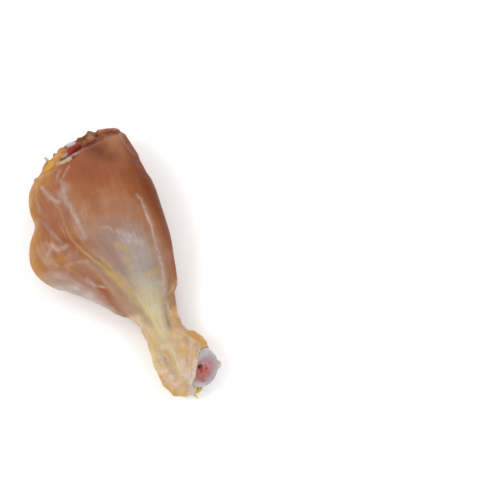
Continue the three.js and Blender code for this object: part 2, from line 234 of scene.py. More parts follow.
# %% Sections of the leg
# Each row: left x, left y, right x, right y, underside, crown, level where widest, how far
# across the crown stands, and how round the slope from the crown to the left edge is
STATIONS = np.array([
    (-60.6, -3, -61.7, 29.1, 8.5, 23.5, 16.6, 0.6, 2),
    (-57, -9.6, -57, 31.5, 4.8, 28.5, 17.5, 0.58, 1.95),
    (-50, -18.8, -50, 32.4, 1, 35, 18, 0.58, 1.9),
    (-42, -22.5, -42, 32.9, -0.6, 38.8, 18, 0.6, 1.85),
    (-34, -23.6, -34, 33, -0.9, 40.2, 17.5, 0.61, 1.8),
    (-26, -29.8, -26, 32.6, -0.9, 40, 17, 0.63, 1.72),
    (-18, -32.7, -18, 31.5, -0.9, 38.8, 16.6, 0.65, 1.68),
    (-10, -30.6, -10, 30.2, -0.8, 36.6, 16.2, 0.66, 1.68),
    (-2, -24.5, -2, 28.6, -0.4, 33.8, 15.4, 0.65, 1.72),
    (6, -16.9, 6, 26, 0.4, 30.2, 14.4, 0.62, 1.8),
    (14, -10.8, 14, 23.5, 1.5, 26.2, 13.2, 0.58, 1.9),
    (21.5, -4.6, 21.5, 19.2, 2.4, 22.8, 12.2, 0.54, 2),
    (30, -1.6, 29.5, 16.4, 2.4, 20.6, 11.5, 0.5, 2.1),
    (38, -1.8, 36.5, 17.8, 1.2, 21.2, 11.5, 0.5, 2.1),
    (46, -3.2, 41, 20.2, -0.2, 22.6, 11.6, 0.5, 2.1),
    (54, -2.8, 44.2, 21.4, -0.5, 23.2, 11.6, 0.5, 2.1),
    (60.2, -0.8, 46.6, 21.6, -0.3, 23, 11.6, 0.5, 2.1),
    (63.4, 2.8, 48, 21.5, 0.3, 22.6, 11.6, 0.5, 2.1),
    (63.6, 6.2, 49, 21.2, 1, 22, 11.6, 0.5, 2.1),
])
LAST = len(STATIONS) - 1
# How round the right side and the underside are: 2 is an ellipse, and more is squarer
RIGHT_ROUND, UNDER_ROUND = 2.25, 2.35
# Which way the end at the hock faces, how many mm its crown is drawn back, and from which row
MOUTH_OUT = np.array((0.67, 0.74, 0))
MOUTH_BACK, MOUTH_FROM = 3.4, 14
print("rows:", len(STATIONS), " from x", STATIONS[0, 0], "to", STATIONS[-1, 0], "mm")

# %% A ring at any place along the leg


def sections(t, turn):
    """Points of the plain leg: one row for each place t, one column for each angle."""
    row = smooth_along(STATIONS, t)
    left_x, left_y, right_x, right_y, under, crown, wide, crest, fall = row.T[:, :, None]
    across, upward = np.cos(turn)[None], np.sin(turn)[None]
    power = np.where(upward < 0, UNDER_ROUND, np.where(across < 0, fall, RIGHT_ROUND))
    out = (abs(across) ** power + abs(upward) ** power) ** (-1 / power)
    share = crest + out * across * np.where(across < 0, crest, 1 - crest)
    back = MOUTH_BACK * np.maximum(out * upward, 0) * fade(t, MOUTH_FROM, LAST)[:, None]
    x = left_x + (right_x - left_x) * share - back * MOUTH_OUT[0]
    y = left_y + (right_y - left_y) * share - back * MOUTH_OUT[1]
    z = wide + out * upward * np.where(upward < 0, wide - under, crown - wide)
    return np.stack([x, y, z], -1)


first_crown = sections(np.zeros(1), np.array([np.pi / 2]))[0, 0]
print("the first ring has its crown at", first_crown.round(1))

# %% Rings at even steps along the leg


def evened(rings, times):
    """Each ring smoothed round itself, so that its quarters meet without a ridge."""
    for _ in range(times):
        rings = (np.roll(rings, 1, 1) + 2 * rings + np.roll(rings, -1, 1)) / 4
    return rings


RINGS, TOP_POINTS, UNDER_POINTS = 286, 156, 104
FINE_STEPS, TIMES_EVENED = 1081, 12
TURN = np.concatenate([
    np.linspace(0, np.pi, TOP_POINTS, endpoint=False),
    np.linspace(np.pi, 2 * np.pi, UNDER_POINTS, endpoint=False),
])
fine_t = np.linspace(0, LAST, FINE_STEPS)
right_crown_left = sections(fine_t, np.array([0, 0.5, 1]) * np.pi)
walked = np.linalg.norm(np.diff(right_crown_left, axis=0), axis=2).mean(1)
distance = np.concatenate([[0], np.cumsum(walked)])
RING_T = np.interp(np.linspace(0, distance[-1], RINGS), distance, fine_t)
plain = evened(sections(RING_T, TURN), TIMES_EVENED)
print("rings x points:", plain.shape[:2], " length along the meat:", round(distance[-1], 1), "mm")

# %% [markdown]
# ## Seams and ridges
# The belly is several muscles that lie side by side. Furrows run where two of them meet, a
# tendon stands up on the way to the ankle, and films leave low edges. Each is a line that is
# drawn in plan or from the side, laid on the surface, and raised or sunk as a bell curve.

# %% A coarse copy to lay lines on
# A coarser copy of the surface is enough to find a line's places on it
PATTERN_RINGS, PATTERN_POINTS, PATTERN_EVENED = 320, 240, 10
PATTERN_TURN = np.linspace(0, 2 * np.pi, PATTERN_POINTS, endpoint=False)
PATTERN = evened(sections(np.linspace(0, LAST, PATTERN_RINGS), PATTERN_TURN), PATTERN_EVENED)
# Each view: which two of x, y and z it shows, and which columns it sees
OVERLAP = 0.05
SIDES = {
    "top": ([0, 1], np.sin(PATTERN_TURN) > -OVERLAP),
    "under": ([0, 1], np.sin(PATTERN_TURN) < OVERLAP),
    "right": ([0, 2], np.cos(PATTERN_TURN) > -OVERLAP),
    "left": ([0, 2], np.cos(PATTERN_TURN) < OVERLAP),
}
print("places to lay lines on:", PATTERN.shape[0] * PATTERN.shape[1])

# %% Lay lines on the surface


def laid(side, points, steps=5):
    """A smooth line through points drawn in one view, as points on the surface."""
    t = np.linspace(0, len(points) - 1, (len(points) - 1) * steps + 1)
    drawn = smooth_along(points, t) if len(points) > 1 else np.array(points, float)
    axes, seen = SIDES[side]
    surface = PATTERN[:, seen].reshape(-1, 3)
    gaps = ((surface[None, :, axes] - drawn[:, None]) ** 2).sum(2)
    line = surface[gaps.argmin(1)]
    for _ in range(3 if len(line) > 2 else 0):
        line[1:-1] = (line[:-2] + 2 * line[1:-1] + line[2:]) / 4
    return line


def stroke(points, side, line, reach, ends=0.14):
    """A soft stroke along a line: 1 on the line, 0 away from it, fading at both ends."""
    line = laid(side, line)
    weight = np.zeros(len(points))
    box = 3 * np.max(reach)
    close = ((points > line.min(0) - box) & (points < line.max(0) + box)).all(1)
    gap, along = near_line(points[close], line)
    tips = fade(np.minimum(along, 1 - along), 0, ends) if ends else 1
    weight[close] = np.exp(-((gap / spaced(reach, along)) ** 2)) * tips
    return weight


print("a line through two places has", len(laid("top", [(-40, 0), (20, 8)])), "points")

# %% The seams between the muscles
# Each: the view, its rise (below zero for a furrow), its reach and its points
CREASES = {
    "calf_seam": ("top", -0.9, 2.2, [
        (-43, -14), (-33, -11.7), (-21, -11.3), (-11.5, -10), (-3, -6.4), (8, -2), (18, 0.6), (29, 2.2),
    ]),
    "seam_ledge": ("top", 0.5, 2.6, [(-36, -8), (-21, -7.6), (-9, -5.4), (1, -0.6), (8, 2), (16, 4)]),
    "outer_furrow": ("top", -1.2, 3.2, [
        (-42, -20.5), (-34.5, -19.3), (-26.3, -18), (-18, -16.2), (-9.1, -11.4),
    ]),
    "shin_strip": ("top", -0.6, 1.8, [
        (-13, -25.4), (-6.7, -19.2), (2.2, -13.3), (11, -9.4), (19, -5.6), (27, -1.2),
    ]),
    "film_edge": ("top", 0.4, 1.3, [(-11, -31), (-6.5, -24), (-7.2, -19.5), (-6, -15), (-3.5, -9.4)]),
    "front_crest": ("top", 0.9, 2.2, [
        (-34, 25), (-18.6, 22.8), (-7, 21.6), (2.8, 19.9), (12.5, 18), (19.6, 15.4),
    ]),
    "tendon": ("top", 1.4, 3.4, [(4, 8), (11.1, 8.4), (18.6, 8.8), (24.3, 7.9), (31, 6.2), (41, 5)]),
    "front_gap": ("top", -0.8, 1.9, [(15, 20), (20, 17), (23.5, 14.2), (29.9, 12.2), (38, 10.6)]),
    "ankle_cord": ("top", 0.8, 2.0, [(38, 6), (46, 6.6), (52.8, 6.6), (60, 5.4)]),
    "ankle_groove": ("top", -0.6, 1.9, [(36, 1.6), (45, 2), (52, 2), (59, 1.4)]),
    "knee_fold": ("top", -0.8, 1.6, [
        (-51, -13), (-52, -6), (-52.8, 0.3), (-54, 7), (-54.4, 14.5), (-55.8, 23), (-57.6, 30),
    ]),
    "knee_lip": ("top", 0.6, 3.0, [(-47.4, -12), (-48.6, 0), (-50, 8), (-50.6, 15), (-52.6, 25)]),
    "front_seam": ("right", -1.2, 2.6, [
        (-52, 21), (-36, 16), (-18, 12.5), (0, 10.8), (14, 10.4), (26, 11),
    ]),
    "back_seam": ("left", -1.2, 2.6, [
        (-50, 12.5), (-38, 10.5), (-24, 9.4), (-8, 8.4), (8, 8), (24, 7.6),
    ]),
    "inner_seam": ("under", -1.2, 2.4, [(2, 6), (12, 7), (22, 7.5), (32, 7.5), (40, 9)]),
}
print("seams and ridges:", len(CREASES))

# %% Lobes that swell or sink
# Each: the view, where the middle is, its rise and its reach
LOBES = [
    ("top", (-45, -15.5), 1.3, 8), ("top", (-22, -25), 1.5, 8), ("top", (-8, -21), 0.9, 6),
    ("top", (-24, 2), 0.8, 14), ("top", (-57.5, 22), 1.8, 4), ("top", (-57.5, 14), 1, 2.6),
    ("top", (-55.5, -6), 1.6, 2.8), ("top", (-59.5, 6), -3, 5), ("top", (-56, -0.5), 1.2, 2.2),
    ("right", (17.5, 15), 1.3, 2.6), ("top", (38.5, 15.6), 1.3, 3), ("top", (45, 12), 0.9, 2.6),
    ("top", (42.5, -0.6), 0.9, 2.8), ("top", (51, -0.9), 0.8, 3), ("top", (54.6, 1.6), -0.8, 1.9),
    ("top", (58.5, 1.4), 1, 2.8), ("under", (47, 12), 0.8, 3.5),
]


def muscle_relief(points):
    """How far the seams and lobes raise or sink each point, in mm."""
    height = np.zeros(len(points))
    for side, rise, reach, line in CREASES.values():
        height += rise * stroke(points, side, line, reach)
    for side, middle, rise, reach in LOBES:
        height += rise * stroke(points, side, [middle], reach, ends=0)
    return height


base = plain.reshape(-1, 3)
height = muscle_relief(base)
print("seams and lobes from", round(height.min(), 2), "to", round(height.max(), 2), "mm")

# %% Soft lumps at both ends
LUMP_HEIGHT, LUMP_WAVE = 0.3, 8.5
LUMPS_AT_HOCK, LUMPS_AT_KNEE = (32, 40), (-60, -52)


def lumps(points):
    """Soft lumps of fat round the hock and the knee."""
    x, y, z = points.T
    k = 2 * np.pi / LUMP_WAVE
    waves = np.sin(k * (x + 0.6 * y)) * np.sin(k * (y - 0.4 * z))
    waves += np.sin(0.7 * k * (z + 0.5 * x)) * np.sin(0.8 * k * (y + 0.3 * x))
    return LUMP_HEIGHT * (fade(x, *LUMPS_AT_HOCK) + 1 - fade(x, *LUMPS_AT_KNEE)) * waves


height = height + lumps(base)
print("with the lumps from", round(height.min(), 2), "to", round(height.max(), 2), "mm")

# %% Raise and sink the surface


def normals(rings, closed=False):
    """Outward direction at each point of the rings, whose last may lie beside the first."""
    forward = np.roll(rings, -1, 0) - np.roll(rings, 1, 0) if closed else np.gradient(rings, axis=0)
    round_it = np.roll(rings, -1, 1) - np.roll(rings, 1, 1)
    out = np.cross(round_it, forward)
    return out / np.maximum(np.linalg.norm(out, axis=2, keepdims=True), 1e-9)


outer = plain + normals(plain) * height.reshape(plain.shape[:2])[..., None]
print("raised or sunk:", len(base), "points")

# %% [markdown]
# ## Fine relief
# Raw muscle has fibres along its length, a wet film that wrinkles, and torn shreds where the
# joints were cut. The fibres follow the rings, so the noise for them is stretched along the leg.
# Round the ankle it is small grains of fat, and at the knee it is ragged.

# %% Fibres, grains and shreds
# The fibres' pattern is that of a plain tube of this radius, so that it runs on without a break
FIBRE_ROUND = 20.0
ANKLE_BEGINS, KNEE_ENDS = (28, 40), (-59, -54)
ring_along = np.interp(RING_T, fine_t, distance)
FIBRE = np.stack(np.broadcast_arrays(
    FIBRE_ROUND * np.cos(TURN)[None], FIBRE_ROUND * np.sin(TURN)[None], ring_along[:, None],
), -1)


def stretched(across, lengthwise, seed):
    """Noise in streaks along the leg, across by lengthwise mm."""
    return cloud((FIBRE / (across, across, lengthwise)).reshape(-1, 3), 1.0, seed, 2)


def fine_relief(points):
    """Fibres on the belly, grains at the ankle and shreds at the knee, in mm."""
    x = points[:, 0]
    ankle = fade(x, *ANKLE_BEGINS)
    knee = 1 - fade(x, *KNEE_ENDS)
    belly = (1 - ankle) * (1 - knee)
    fibres = 0.07 * stretched(1.3, 14, 3) + 0.16 * stretched(3.4, 20, 5)
    soft = 0.2 * cloud(points, 9, 11, 2)
    grains = 0.24 * cloud(points, 6, 21) + 0.12 * stretched(1.8, 7, 27) + 0.06 * noise(points, 1.4, 25)
    shreds = 0.5 * cloud(points * (1, 0.6, 1), 4.6, 31) + 0.16 * noise(points, 1.4, 33)
    return belly * (fibres + soft) + ankle * grains + knee * shreds


points = outer.reshape(-1, 3)
outer = outer + normals(outer) * fine_relief(points).reshape(outer.shape[:2])[..., None]
print("fine relief laid on", len(points), "points")

# %% [markdown]
# ## Drawing on the leg as the camera sees it
# Many folds and patches are known only from one side, the one that the camera sees. So they are
# drawn in the picture, as a pen would, and every point of the surface that faces the camera looks
# up how near it is to the pen's line. What it finds is kept in the mesh, as relief or as a
# finish, so it stays where it is from every other side. A line is a text of x,y places in the
# picture's pixels.

# %% From the surface to the picture
PICTURE = np.array((480, 481))
FOCAL = PICTURE[1] / SENSOR * LENS
EYE = np.array(camera.location) / MM
TO_MIDDLE = np.array((0.25, 0, 0))


def seen_at(points):
    """Where points of the part's frame, in mm, are in the picture, in its pixels."""
    away = points + TO_MIDDLE - EYE
    depth = -(away @ np.array(BACK))
    flat = np.stack([away @ np.array(RIGHT), -(away @ np.array(UP))], -1)
    return PICTURE / 2 + FOCAL * flat / depth[:, None]


def places(text):
    """The x,y places that a text names."""
    return np.array([pair.split(",") for pair in text.split()], float)


print("the origin is seen at", seen_at(np.zeros((1, 3))).round(1)[0])

# %% How far a surface has to face the camera
# From where a line starts to show to where it is full. 1 faces the camera, 0 is seen edge on,
# and below 0 the surface is turned away.
NEAR_SIDE = (-0.2, 0.05)
PAINTED_SIDE = (-0.08, 0.1)
LIT_SIDE = (0.0, 0.16)
SOFT_SIDE = (-0.75, 0.12)
ROUND_THE_EDGE = (-0.8, -0.45)
print(f"seen edge on, a surface takes {fade(0, *NEAR_SIDE):.0%} of a line")

# %% Pens and areas


class Canvas:
    """The points of one piece as the picture shows them, to draw on."""

    def __init__(self, points, out, wobble=0.9, wander=0.0, facing=NEAR_SIDE):
        """Lines wobble a little, wander at the far side, and fade where the surface turns away."""
        towards = out @ np.array(BACK)
        shake = np.stack([cloud(points, 3.2, seed, 2) for seed in (61, 67)], -1)
        drift = np.stack([cloud(points, 9, seed, 3) for seed in (71, 73)], -1)
        self.at = seen_at(points) + wobble * shake
        self.at += wander * (1 - fade(towards, -0.1, 0.2))[:, None] * drift
        ragged = min(wander, 1) * 0.2 * cloud(points, 7, 79, 3)
        self.facing = fade(towards + ragged, *facing)

    def pen(self, strength, width, text):
        """A soft line, or a spot if the text has one place. Strength and width may change along it."""
        gap, along = near_line(self.at, places(text))
        half = 0.6 * spaced(width, along)
        return spaced(strength, along) * np.exp(-((gap / half) ** 2)) * self.facing

    def area(self, strength, edge, text):
        """An outlined area whose edge is soft by so many pixels."""
        outline = places(text)
        x, y = self.at.T
        inside = np.zeros(len(x), bool)
        for a, b in zip(outline, np.roll(outline, -1, 0)):
            if a[1] != b[1]:
                crosses = (a[1] > y) != (b[1] > y)
                inside ^= crosses & (x < a[0] + (y - a[1]) * (b - a)[0] / (b - a)[1])
        gap, _ = near_line(self.at, np.concatenate([outline, outline[:1]]))
        return strength * fade(np.where(inside, gap, -gap), -edge / 2, edge / 2) * self.facing


out = normals(outer).reshape(-1, 3)
drawn = Canvas(outer.reshape(-1, 3), out)
drawn_round = Canvas(outer.reshape(-1, 3), out, facing=ROUND_THE_EDGE)
print(f"the pen reaches {np.mean(drawn.facing > 0.5):.0%} of the points")

# %% Lines that are used more than once
SLIT = "60.5,159.5 66,156.5 72,153 77,149.5 82,145.5 88,143 95,140 101,137.5"
CREST = "137,195 141,199 144,206 147,214 151,225 154,237 157,248 160,258 162,268 164,280 164.5,294"
THIN_SEAM = "55,204 59,209 62,216 64,221 67,230 70,237 73,241 78,246.5 83,251 87,254.5 92,258.5 97,262"
WIDE_SEAM = "97,262 103,266 108,271 114,276 119,281 124,286 130,292 135,298"
GROOVE = "92,262 97,266 101,270 106,275 111,280 116,285 121,289 126,294 131,299 135,303 143,314 151,326"
FILM_RIM = "61.5,268 66,268 70,271 75,273.5 80,277 85,280 90,284 93,287 97,291 101,295 106,301 112,307"
FILM_LINE = "61.5,268 65,266.5 70,264.5 76,262.5 82,261.5 87,260.5"
ARM_FILM = "42,187 44,190 47,194 50,198 55,201 59,202"
LONG_FILM = "61,186 64,192 65,198 69,206 73,213 77,220 80,226 83,231 86,236"
print("the thin seam has", len(places(THIN_SEAM)), "places")

# %% Folds at the knee and on the belly
# Each: how far it rises in mm (below zero it sinks), its width in pixels and its line
FOLDS = {
    "slit at the knee": (-1.3, 2.2, SLIT),
    "white strip above the slit": (0.5, 4, "62,158 66,156 69,154.5"),
    "white strip below the slit": (0.5, 3.4, "57,163.8 62,162 66,160 70,157.6 74,155"),
    "fold below the fat": (-0.5, 2.4, "46,171 52,169.5 58,167.5 64,165 70,161.5 76,157"),
    "second fold": (-0.35, 2.2, "80,149 88,145.5 95,142.5 101,139.5 108,137.8"),
    "yellow fat": (0.7, 6, "46,169 49,165.5 53,163"),
    "orange tissue": (0.7, 6, "56,160 60,155.5 66,151"),
    "peak": (1.2, 3.6, "89,133.5"),
    "torn lips": (0.5, 2.8, "79,139.5 86,136.5 92,136"),
    "torn hollow": (-0.6, 2.4, "76,143.5 84,141 92,138.5"),
    "torn hollow by the roll": (-0.5, 2.2, "95,137 99,134.5 107,133.4 114,133 119,132"),
    "roll": (0.6, 3.6, "99,131.8 107,130.4 113,129.8 118,130.6"),
    "film at the shin corner": (0.25, 2.6, "119,136 122,140 127,146 133,153"),
    "film streaks": (0.12, 2.4, "56,183 57,176 59.5,171"),
    "film streaks beside them": (0.12, 2.4, "59,181 63,177 66,172 68,168 72,163 76,158"),
    "film of the arm": (0.15, 3, ARM_FILM),
    "long film": (0.3, (4, 7, 6, 5, 5, 5, 6), LONG_FILM),
    "edge of the long film": (-0.3, 3, "54,198 60,205 66,213 71,221 76,230 80,238"),
    "furrow of the lobe": (-0.6, 4, "44,222 48,227 51,231 55,236 60,240 66,243.5"),
    "feathers": (0.14, 4, "52,243 54,247 57,249.5 60,251 63,249.5 66,247"),
    "arc": (0.12, 3, "50,250 47,254 46,259 47,263 50,264 55,265 60,266.5"),
    "film line": (0.1, 2.4, FILM_LINE),
    "film rim": (0.12, 3, FILM_RIM),
    "thin seam": (-0.3, 2.6, THIN_SEAM),
    "wide seam": (-0.45, 5, WIDE_SEAM),
    "groove": (-0.55, 3.8, GROOVE),
    "strip beside the groove": (0.35, 4, "88,264 96,270 103,278 110,288 118,297 127,306 136,317"),
    "leaf": (0.14, 3.4, "87,280 90,284.5 96,287.5 103,288"),
    "crest": (0.35, 2.8, CREST),
    "beside the crest": (-0.3, 3.4, "146,224 149,236 152,247 155,258 158,268 160,280"),
    "wet ridge": (0.25, (2, 3, 4, 5), "102.5,228 109,227 115,230.5 121,233 128,237.5 135,241.5"),
    "end of the shin muscle": (0.4, 7, "171,291 171,299 171,307"),
    "edge of the shin muscle": (
        -0.35, 2.6, "174.5,284 173,289 170,293 167,296.5 165,300 163.5,304 163.5,310",
    ),
}
print("folds on the belly:", len(FOLDS))

# %% Folds at the neck and the ankle
FOLDS |= {
    "gap beside the tendon": (-0.7, 3.4, "165,306 167,312 169,320 170,328"),
    "left of the tendon": (-0.5, 3, "135,299 143,311 151,323 158,335 163,341"),
    "tendon's tip": (0.55, 7, "156,326 160,333 165,340"),
    "cord to the heel": (0.4, 4.5, "168,342 172,350 175,359 179,369 184,378"),
    "hollow at the heel": (-0.5, 5, "160,350 164,358 168,364 172,370"),
    "heel roll": (0.35, 4, "163,382 168,388 175,393"),
    "edge of the orange band": (-0.5, 2.4, "182,334 189,339.5 197,346 202,350"),
    "orange band": (0.45, 6, "186,331 193,334 200,339"),
    "wrinkles": (-0.28, 1.8, "181,338 185,346 188,354 190,362"),
    "more wrinkles": (-0.22, 1.6, "175,344 179,351 183,358 186,367"),
    "sinew's edge": (-0.4, 1.5, "192,364 191.5,371 190.5,378 188.5,385 187.5,391"),
    "sinew": (0.4, 4, "197,362 195.5,369 193.5,377 191.5,385 191,392"),
    "pale knot": (0.35, 4.4, "187,373.5"),
    "fold over the hollow": (0.6, 7, "171,353 176,362 181,371 186,380"),
    "below the fold": (-0.7, (4, 6, 6, 4), "165,353 169,360 173,367 177,374"),
}
print("folds that the camera sees:", len(FOLDS))

# %% Folds that change the outline, and the leg pressed on the table
# They are measured as the others are, but go on round the edge
EDGE_FOLDS = {
    "notch in the neck": (-1.25, 4.6, "184,323 187.5,326.5 190.5,328"),
    "edge at the muscle's end": (-0.6, 5, "178,283 178,288 177,292"),
    "nub above the cap": (0.9, 4, "206,342 209,346"),
    "orange band's edge": (0.1, 6, "197,333 201,338"),
    "shin corner": (-0.15, 8, "124,133 129,141 135,150"),
    "below the shin corner": (-0.8, 9, "141,161 145,172"),
    "below the film": (-0.85, 9, "66,293 73,297 83,300 95,305.5 107,311"),
    "left of the neck": (-0.9, 7, "127,321 133,324.5 138,330"),
    "nub at the left rim": (0.7, 3.6, "35.5,180"),
    "corner of the heel": (0.6, 6, "172,395 176,396.5"),
}
folds = sum(drawn.pen(*fold) for fold in FOLDS.values())
folds += sum(drawn_round.pen(*fold) for fold in EDGE_FOLDS.values())
outer = outer + (out * folds[:, None]).reshape(outer.shape)
# The leg's own weight presses it flat, and the edge of the flat part is so many mm soft
PRESSED = 0.5
outer[..., 2] = 0.5 * (outer[..., 2] + np.sqrt(outer[..., 2] ** 2 + PRESSED**2))
print(len(FOLDS) + len(EDGE_FOLDS), "folds from", round(folds.min(), 2), "to", round(folds.max(), 2), "mm")
print("lowest point", round(outer[..., 2].min(), 3), "mm")

# %% [markdown]
# ## The bone's room in the meat
# The bone runs through the meat, so the mesh is a bent tube: the outside, a lip at the hock, the
# pocket of the knob, the channel of the shaft, the pocket of the head and the face of the knee.
# All of its rings have the same number of points, so that no pole or hole has to be closed.

# %% The bone's line
BONE_LINE = np.array([
    (-56.5, 6.5, 16), (-40, 6.5, 18), (-10, 7, 16.5), (20, 8, 12), (36, 8.4, 11.2), (54.3, 13.6, 12),
])
HEAD_AT, HEAD_RADII = np.array((-57.2, 6.5, 16.0)), np.array((7.2, 8.8, 9.2))
KNOB_AT, KNOB_RADIUS = np.array((54.3, 13.6, 12.0)), 9.2
SHAFT_RADIUS, SHAFT_FLARE = 4.1, 2.2
# The room between bone and meat
GAP = 0.3
bone_path = smooth_along(BONE_LINE, np.linspace(0, len(BONE_LINE) - 1, 401))
bone_walk = np.concatenate([[0], np.cumsum(np.linalg.norm(np.diff(bone_path, axis=0), axis=1))])
bone_length = bone_walk[-1]
bone_walk /= bone_length


def bone_middle(s):
    """The middle of the bone at places s from 0, the knee, to 1, the hock."""
    return np.stack([np.interp(s, bone_walk, bone_path[:, k]) for k in range(3)], -1)


def bone_rings(s, turn, grow=0.0):
    """Rings round the shaft at places s from 0, the knee, to 1, the hock."""
    step = 0.01
    tangent = bone_middle(np.minimum(s + step, 1)) - bone_middle(np.maximum(s - step, 0))
    across = np.cross((0, 0, 1), tangent)
    across /= np.linalg.norm(across, axis=1, keepdims=True)
    radius = (grow + SHAFT_RADIUS + SHAFT_FLARE * abs(2 * s - 1) ** 5)[:, None, None]
    ring = np.cos(turn)[:, None] * across[:, None] + np.sin(turn)[:, None] * np.array((0, 0, 1.0))
    return bone_middle(s)[:, None] + radius * ring


print("the bone's line is", round(float(bone_length), 1), "mm long")

# %% The lip at the hock
LIP_RINGS = 10
ROOM = KNOB_RADIUS + GAP
# How thick the lip is at the least, and how far its rim is from the knob: it sinks in a little
LIP_THICK = 0.55
RIM_GAP = -0.1
# Sinew covers the cap's left side: how many mm further the lip reaches there, by angle
COVER_ANGLES = np.radians((30, 50, 65, 82, 100, 125, 150, 175, 200))
COVER = (0.2, 0.6, 1.1, 2.2, 2.4, 2.1, 1.4, 0.8, 0)
from_knob = outer - KNOB_AT
reach_out = np.linalg.norm(from_knob, axis=2, keepdims=True)
outer = KNOB_AT + from_knob * np.maximum(reach_out, ROOM + LIP_THICK) / reach_out
HEAD_ROOM = HEAD_RADII + GAP
from_head = (outer - HEAD_AT) / (HEAD_ROOM + LIP_THICK)
outer = HEAD_AT + (outer - HEAD_AT) / np.minimum(np.linalg.norm(from_head, axis=2, keepdims=True), 1)

# The rim of the lip is where a line from the mouth to its middle meets the knob's room
mouth = outer[-1]
inwards = mouth.mean(0) - mouth
half_b = ((mouth - KNOB_AT) * inwards).sum(1)
square = (inwards**2).sum(1)
beyond = ((mouth - KNOB_AT) ** 2).sum(1) - ROOM**2
root = np.sqrt(np.maximum(half_b**2 - square * beyond, 0))
rim = mouth + inwards * ((-half_b - root) / square)[:, None]
frayed = 0.35 * cloud(rim, 2.2, 43, 2)
cover = np.interp(TURN, COVER_ANGLES, COVER, 0, 0) + frayed * fade(np.sin(TURN), 0, 0.4)
rim = rim + np.array(RIGHT) * cover[:, None]
rim_out = rim - KNOB_AT
rim = KNOB_AT + rim_out * (KNOB_RADIUS + RIM_GAP) / np.linalg.norm(rim_out, axis=1, keepdims=True)
u = np.arange(1, LIP_RINGS + 1)[:, None, None] / (LIP_RINGS + 1)
swell = (0.75 + 0.35 * cloud(mouth, 3.0, 41))[None, :, None] * np.sin(np.pi * u**1.3)
lip = mouth + (rim - mouth) * u
lip_out = (lip - KNOB_AT) / np.linalg.norm(lip - KNOB_AT, axis=2, keepdims=True)
lip = lip + (0.75 * lip_out + 0.45 * MOUTH_OUT) * swell
thick = np.linalg.norm(mouth - rim, axis=1)
print("lip at the hock:", thick.min().round(2), "to", thick.max().round(2), "mm from edge to edge")

# %% The pockets and the channel
POCKET_RINGS, CHANNEL_RINGS = 14, 20
CHANNEL_ENDS = (0.945, 0.045)


def turned_between(start, end, count):
    """Directions that turn from start to end, without either."""
    start = start / np.linalg.norm(start, axis=-1, keepdims=True)
    end = end / np.linalg.norm(end, axis=-1, keepdims=True)
    angle = np.arccos(np.clip((start * end).sum(-1, keepdims=True), -1, 1))
    f = np.arange(1, count + 1)[:, None, None] / (count + 1)
    return (np.sin((1 - f) * angle) * start + np.sin(f * angle) * end) / np.sin(angle)


channel = bone_rings(np.linspace(*CHANNEL_ENDS, CHANNEL_RINGS), TURN, GAP)
to_channel = channel[0] - KNOB_AT
f = np.arange(1, POCKET_RINGS + 1)[:, None, None] / (POCKET_RINGS + 1)
reach = ROOM * (1 - f) + np.linalg.norm(to_channel, axis=1)[:, None] * f
pocket = KNOB_AT + reach * turned_between(rim - KNOB_AT, to_channel, POCKET_RINGS)

KNEE_RIM_X = -62.0
from_shaft = math.pi - math.asin((SHAFT_RADIUS + SHAFT_FLARE + 2 * GAP) / HEAD_ROOM[1])
to_face = math.acos((HEAD_AT[0] - KNEE_RIM_X) / HEAD_ROOM[0])
polar = np.linspace(from_shaft, to_face, POCKET_RINGS + 1)[:, None]
head_pocket = HEAD_AT + HEAD_ROOM * np.stack(np.broadcast_arrays(
    -np.cos(polar), np.sin(polar) * np.cos(TURN), np.sin(polar) * np.sin(TURN),
), -1)
print("head pocket opens at x", round(float(head_pocket[-1, 0, 0]), 1), "mm")

# %% The torn face at the knee
# The ragged tissue stands out beyond the edge, but not over the cap's hump of cartilage
KNEE_RINGS = 14
HUMP = "63,149 64,143 69,138 76,138 80,142 80,150 72,157 65,157"
NOTCH_RINGS = 24
EDGE_NOTCH = (2.2, 3.2, "95,130.5 95.5,135")
TORN_FORMS = {
    "peak": (1.2, 3.4, "90.5,135"), "notch": (-2.6, 3.6, "95.5,132.5 96,137"),
    "left slope": (-0.5, 6, "83,141"), "rim of the roll": (0.4, 5, "104,134 112,133"),
    "by the roll": (-0.4, 4, "100,136"),
}
knee_edge = Canvas(outer[:NOTCH_RINGS].reshape(-1, 3), out[:NOTCH_RINGS * len(TURN)])
notch = knee_edge.pen(*EDGE_NOTCH)
outer[:NOTCH_RINGS, :, 0] += notch.reshape(NOTCH_RINGS, -1)
first = outer[0]
u = np.arange(1, KNEE_RINGS + 1)[:, None, None] / (KNEE_RINGS + 1)
face = head_pocket[-1] + (first - head_pocket[-1]) * u
flat_face = face.reshape(-1, 3)
upwards = np.tile((0, 0, 1.0), (len(flat_face), 1))
on_face = Canvas(flat_face, upwards)
clear = on_face.area(1, 3, HUMP)
torn = 0.9 + 1.1 * cloud(flat_face, 3.4, 51) + 0.3 * noise(flat_face, 1.3, 57)
torn += sum(on_face.pen(*stroke_of) for stroke_of in TORN_FORMS.values())
torn = (torn * (1 - clear)).reshape(face.shape[:2]) * np.sin(np.pi * u[..., 0]) ** 0.7
face[..., 0] -= torn
meat_rings = np.concatenate([outer, lip, rim[None], pocket, channel, head_pocket, face])
print("rings of the meat in all:", len(meat_rings), "x", len(TURN))

# %% Make the mesh


def ring_faces(rings, count, closed):
    """Quads between neighbouring rings, and from the last to the first if closed."""
    i = np.arange(rings if closed else rings - 1)[:, None]
    j = np.arange(count)[None]
    ahead, beside = (i + 1) % rings, (j + 1) % count
    corners = (i * count + j, i * count + beside, ahead * count + beside, ahead * count + j)
    return np.stack(np.broadcast_arrays(*corners), -1).reshape(-1, 4).tolist()


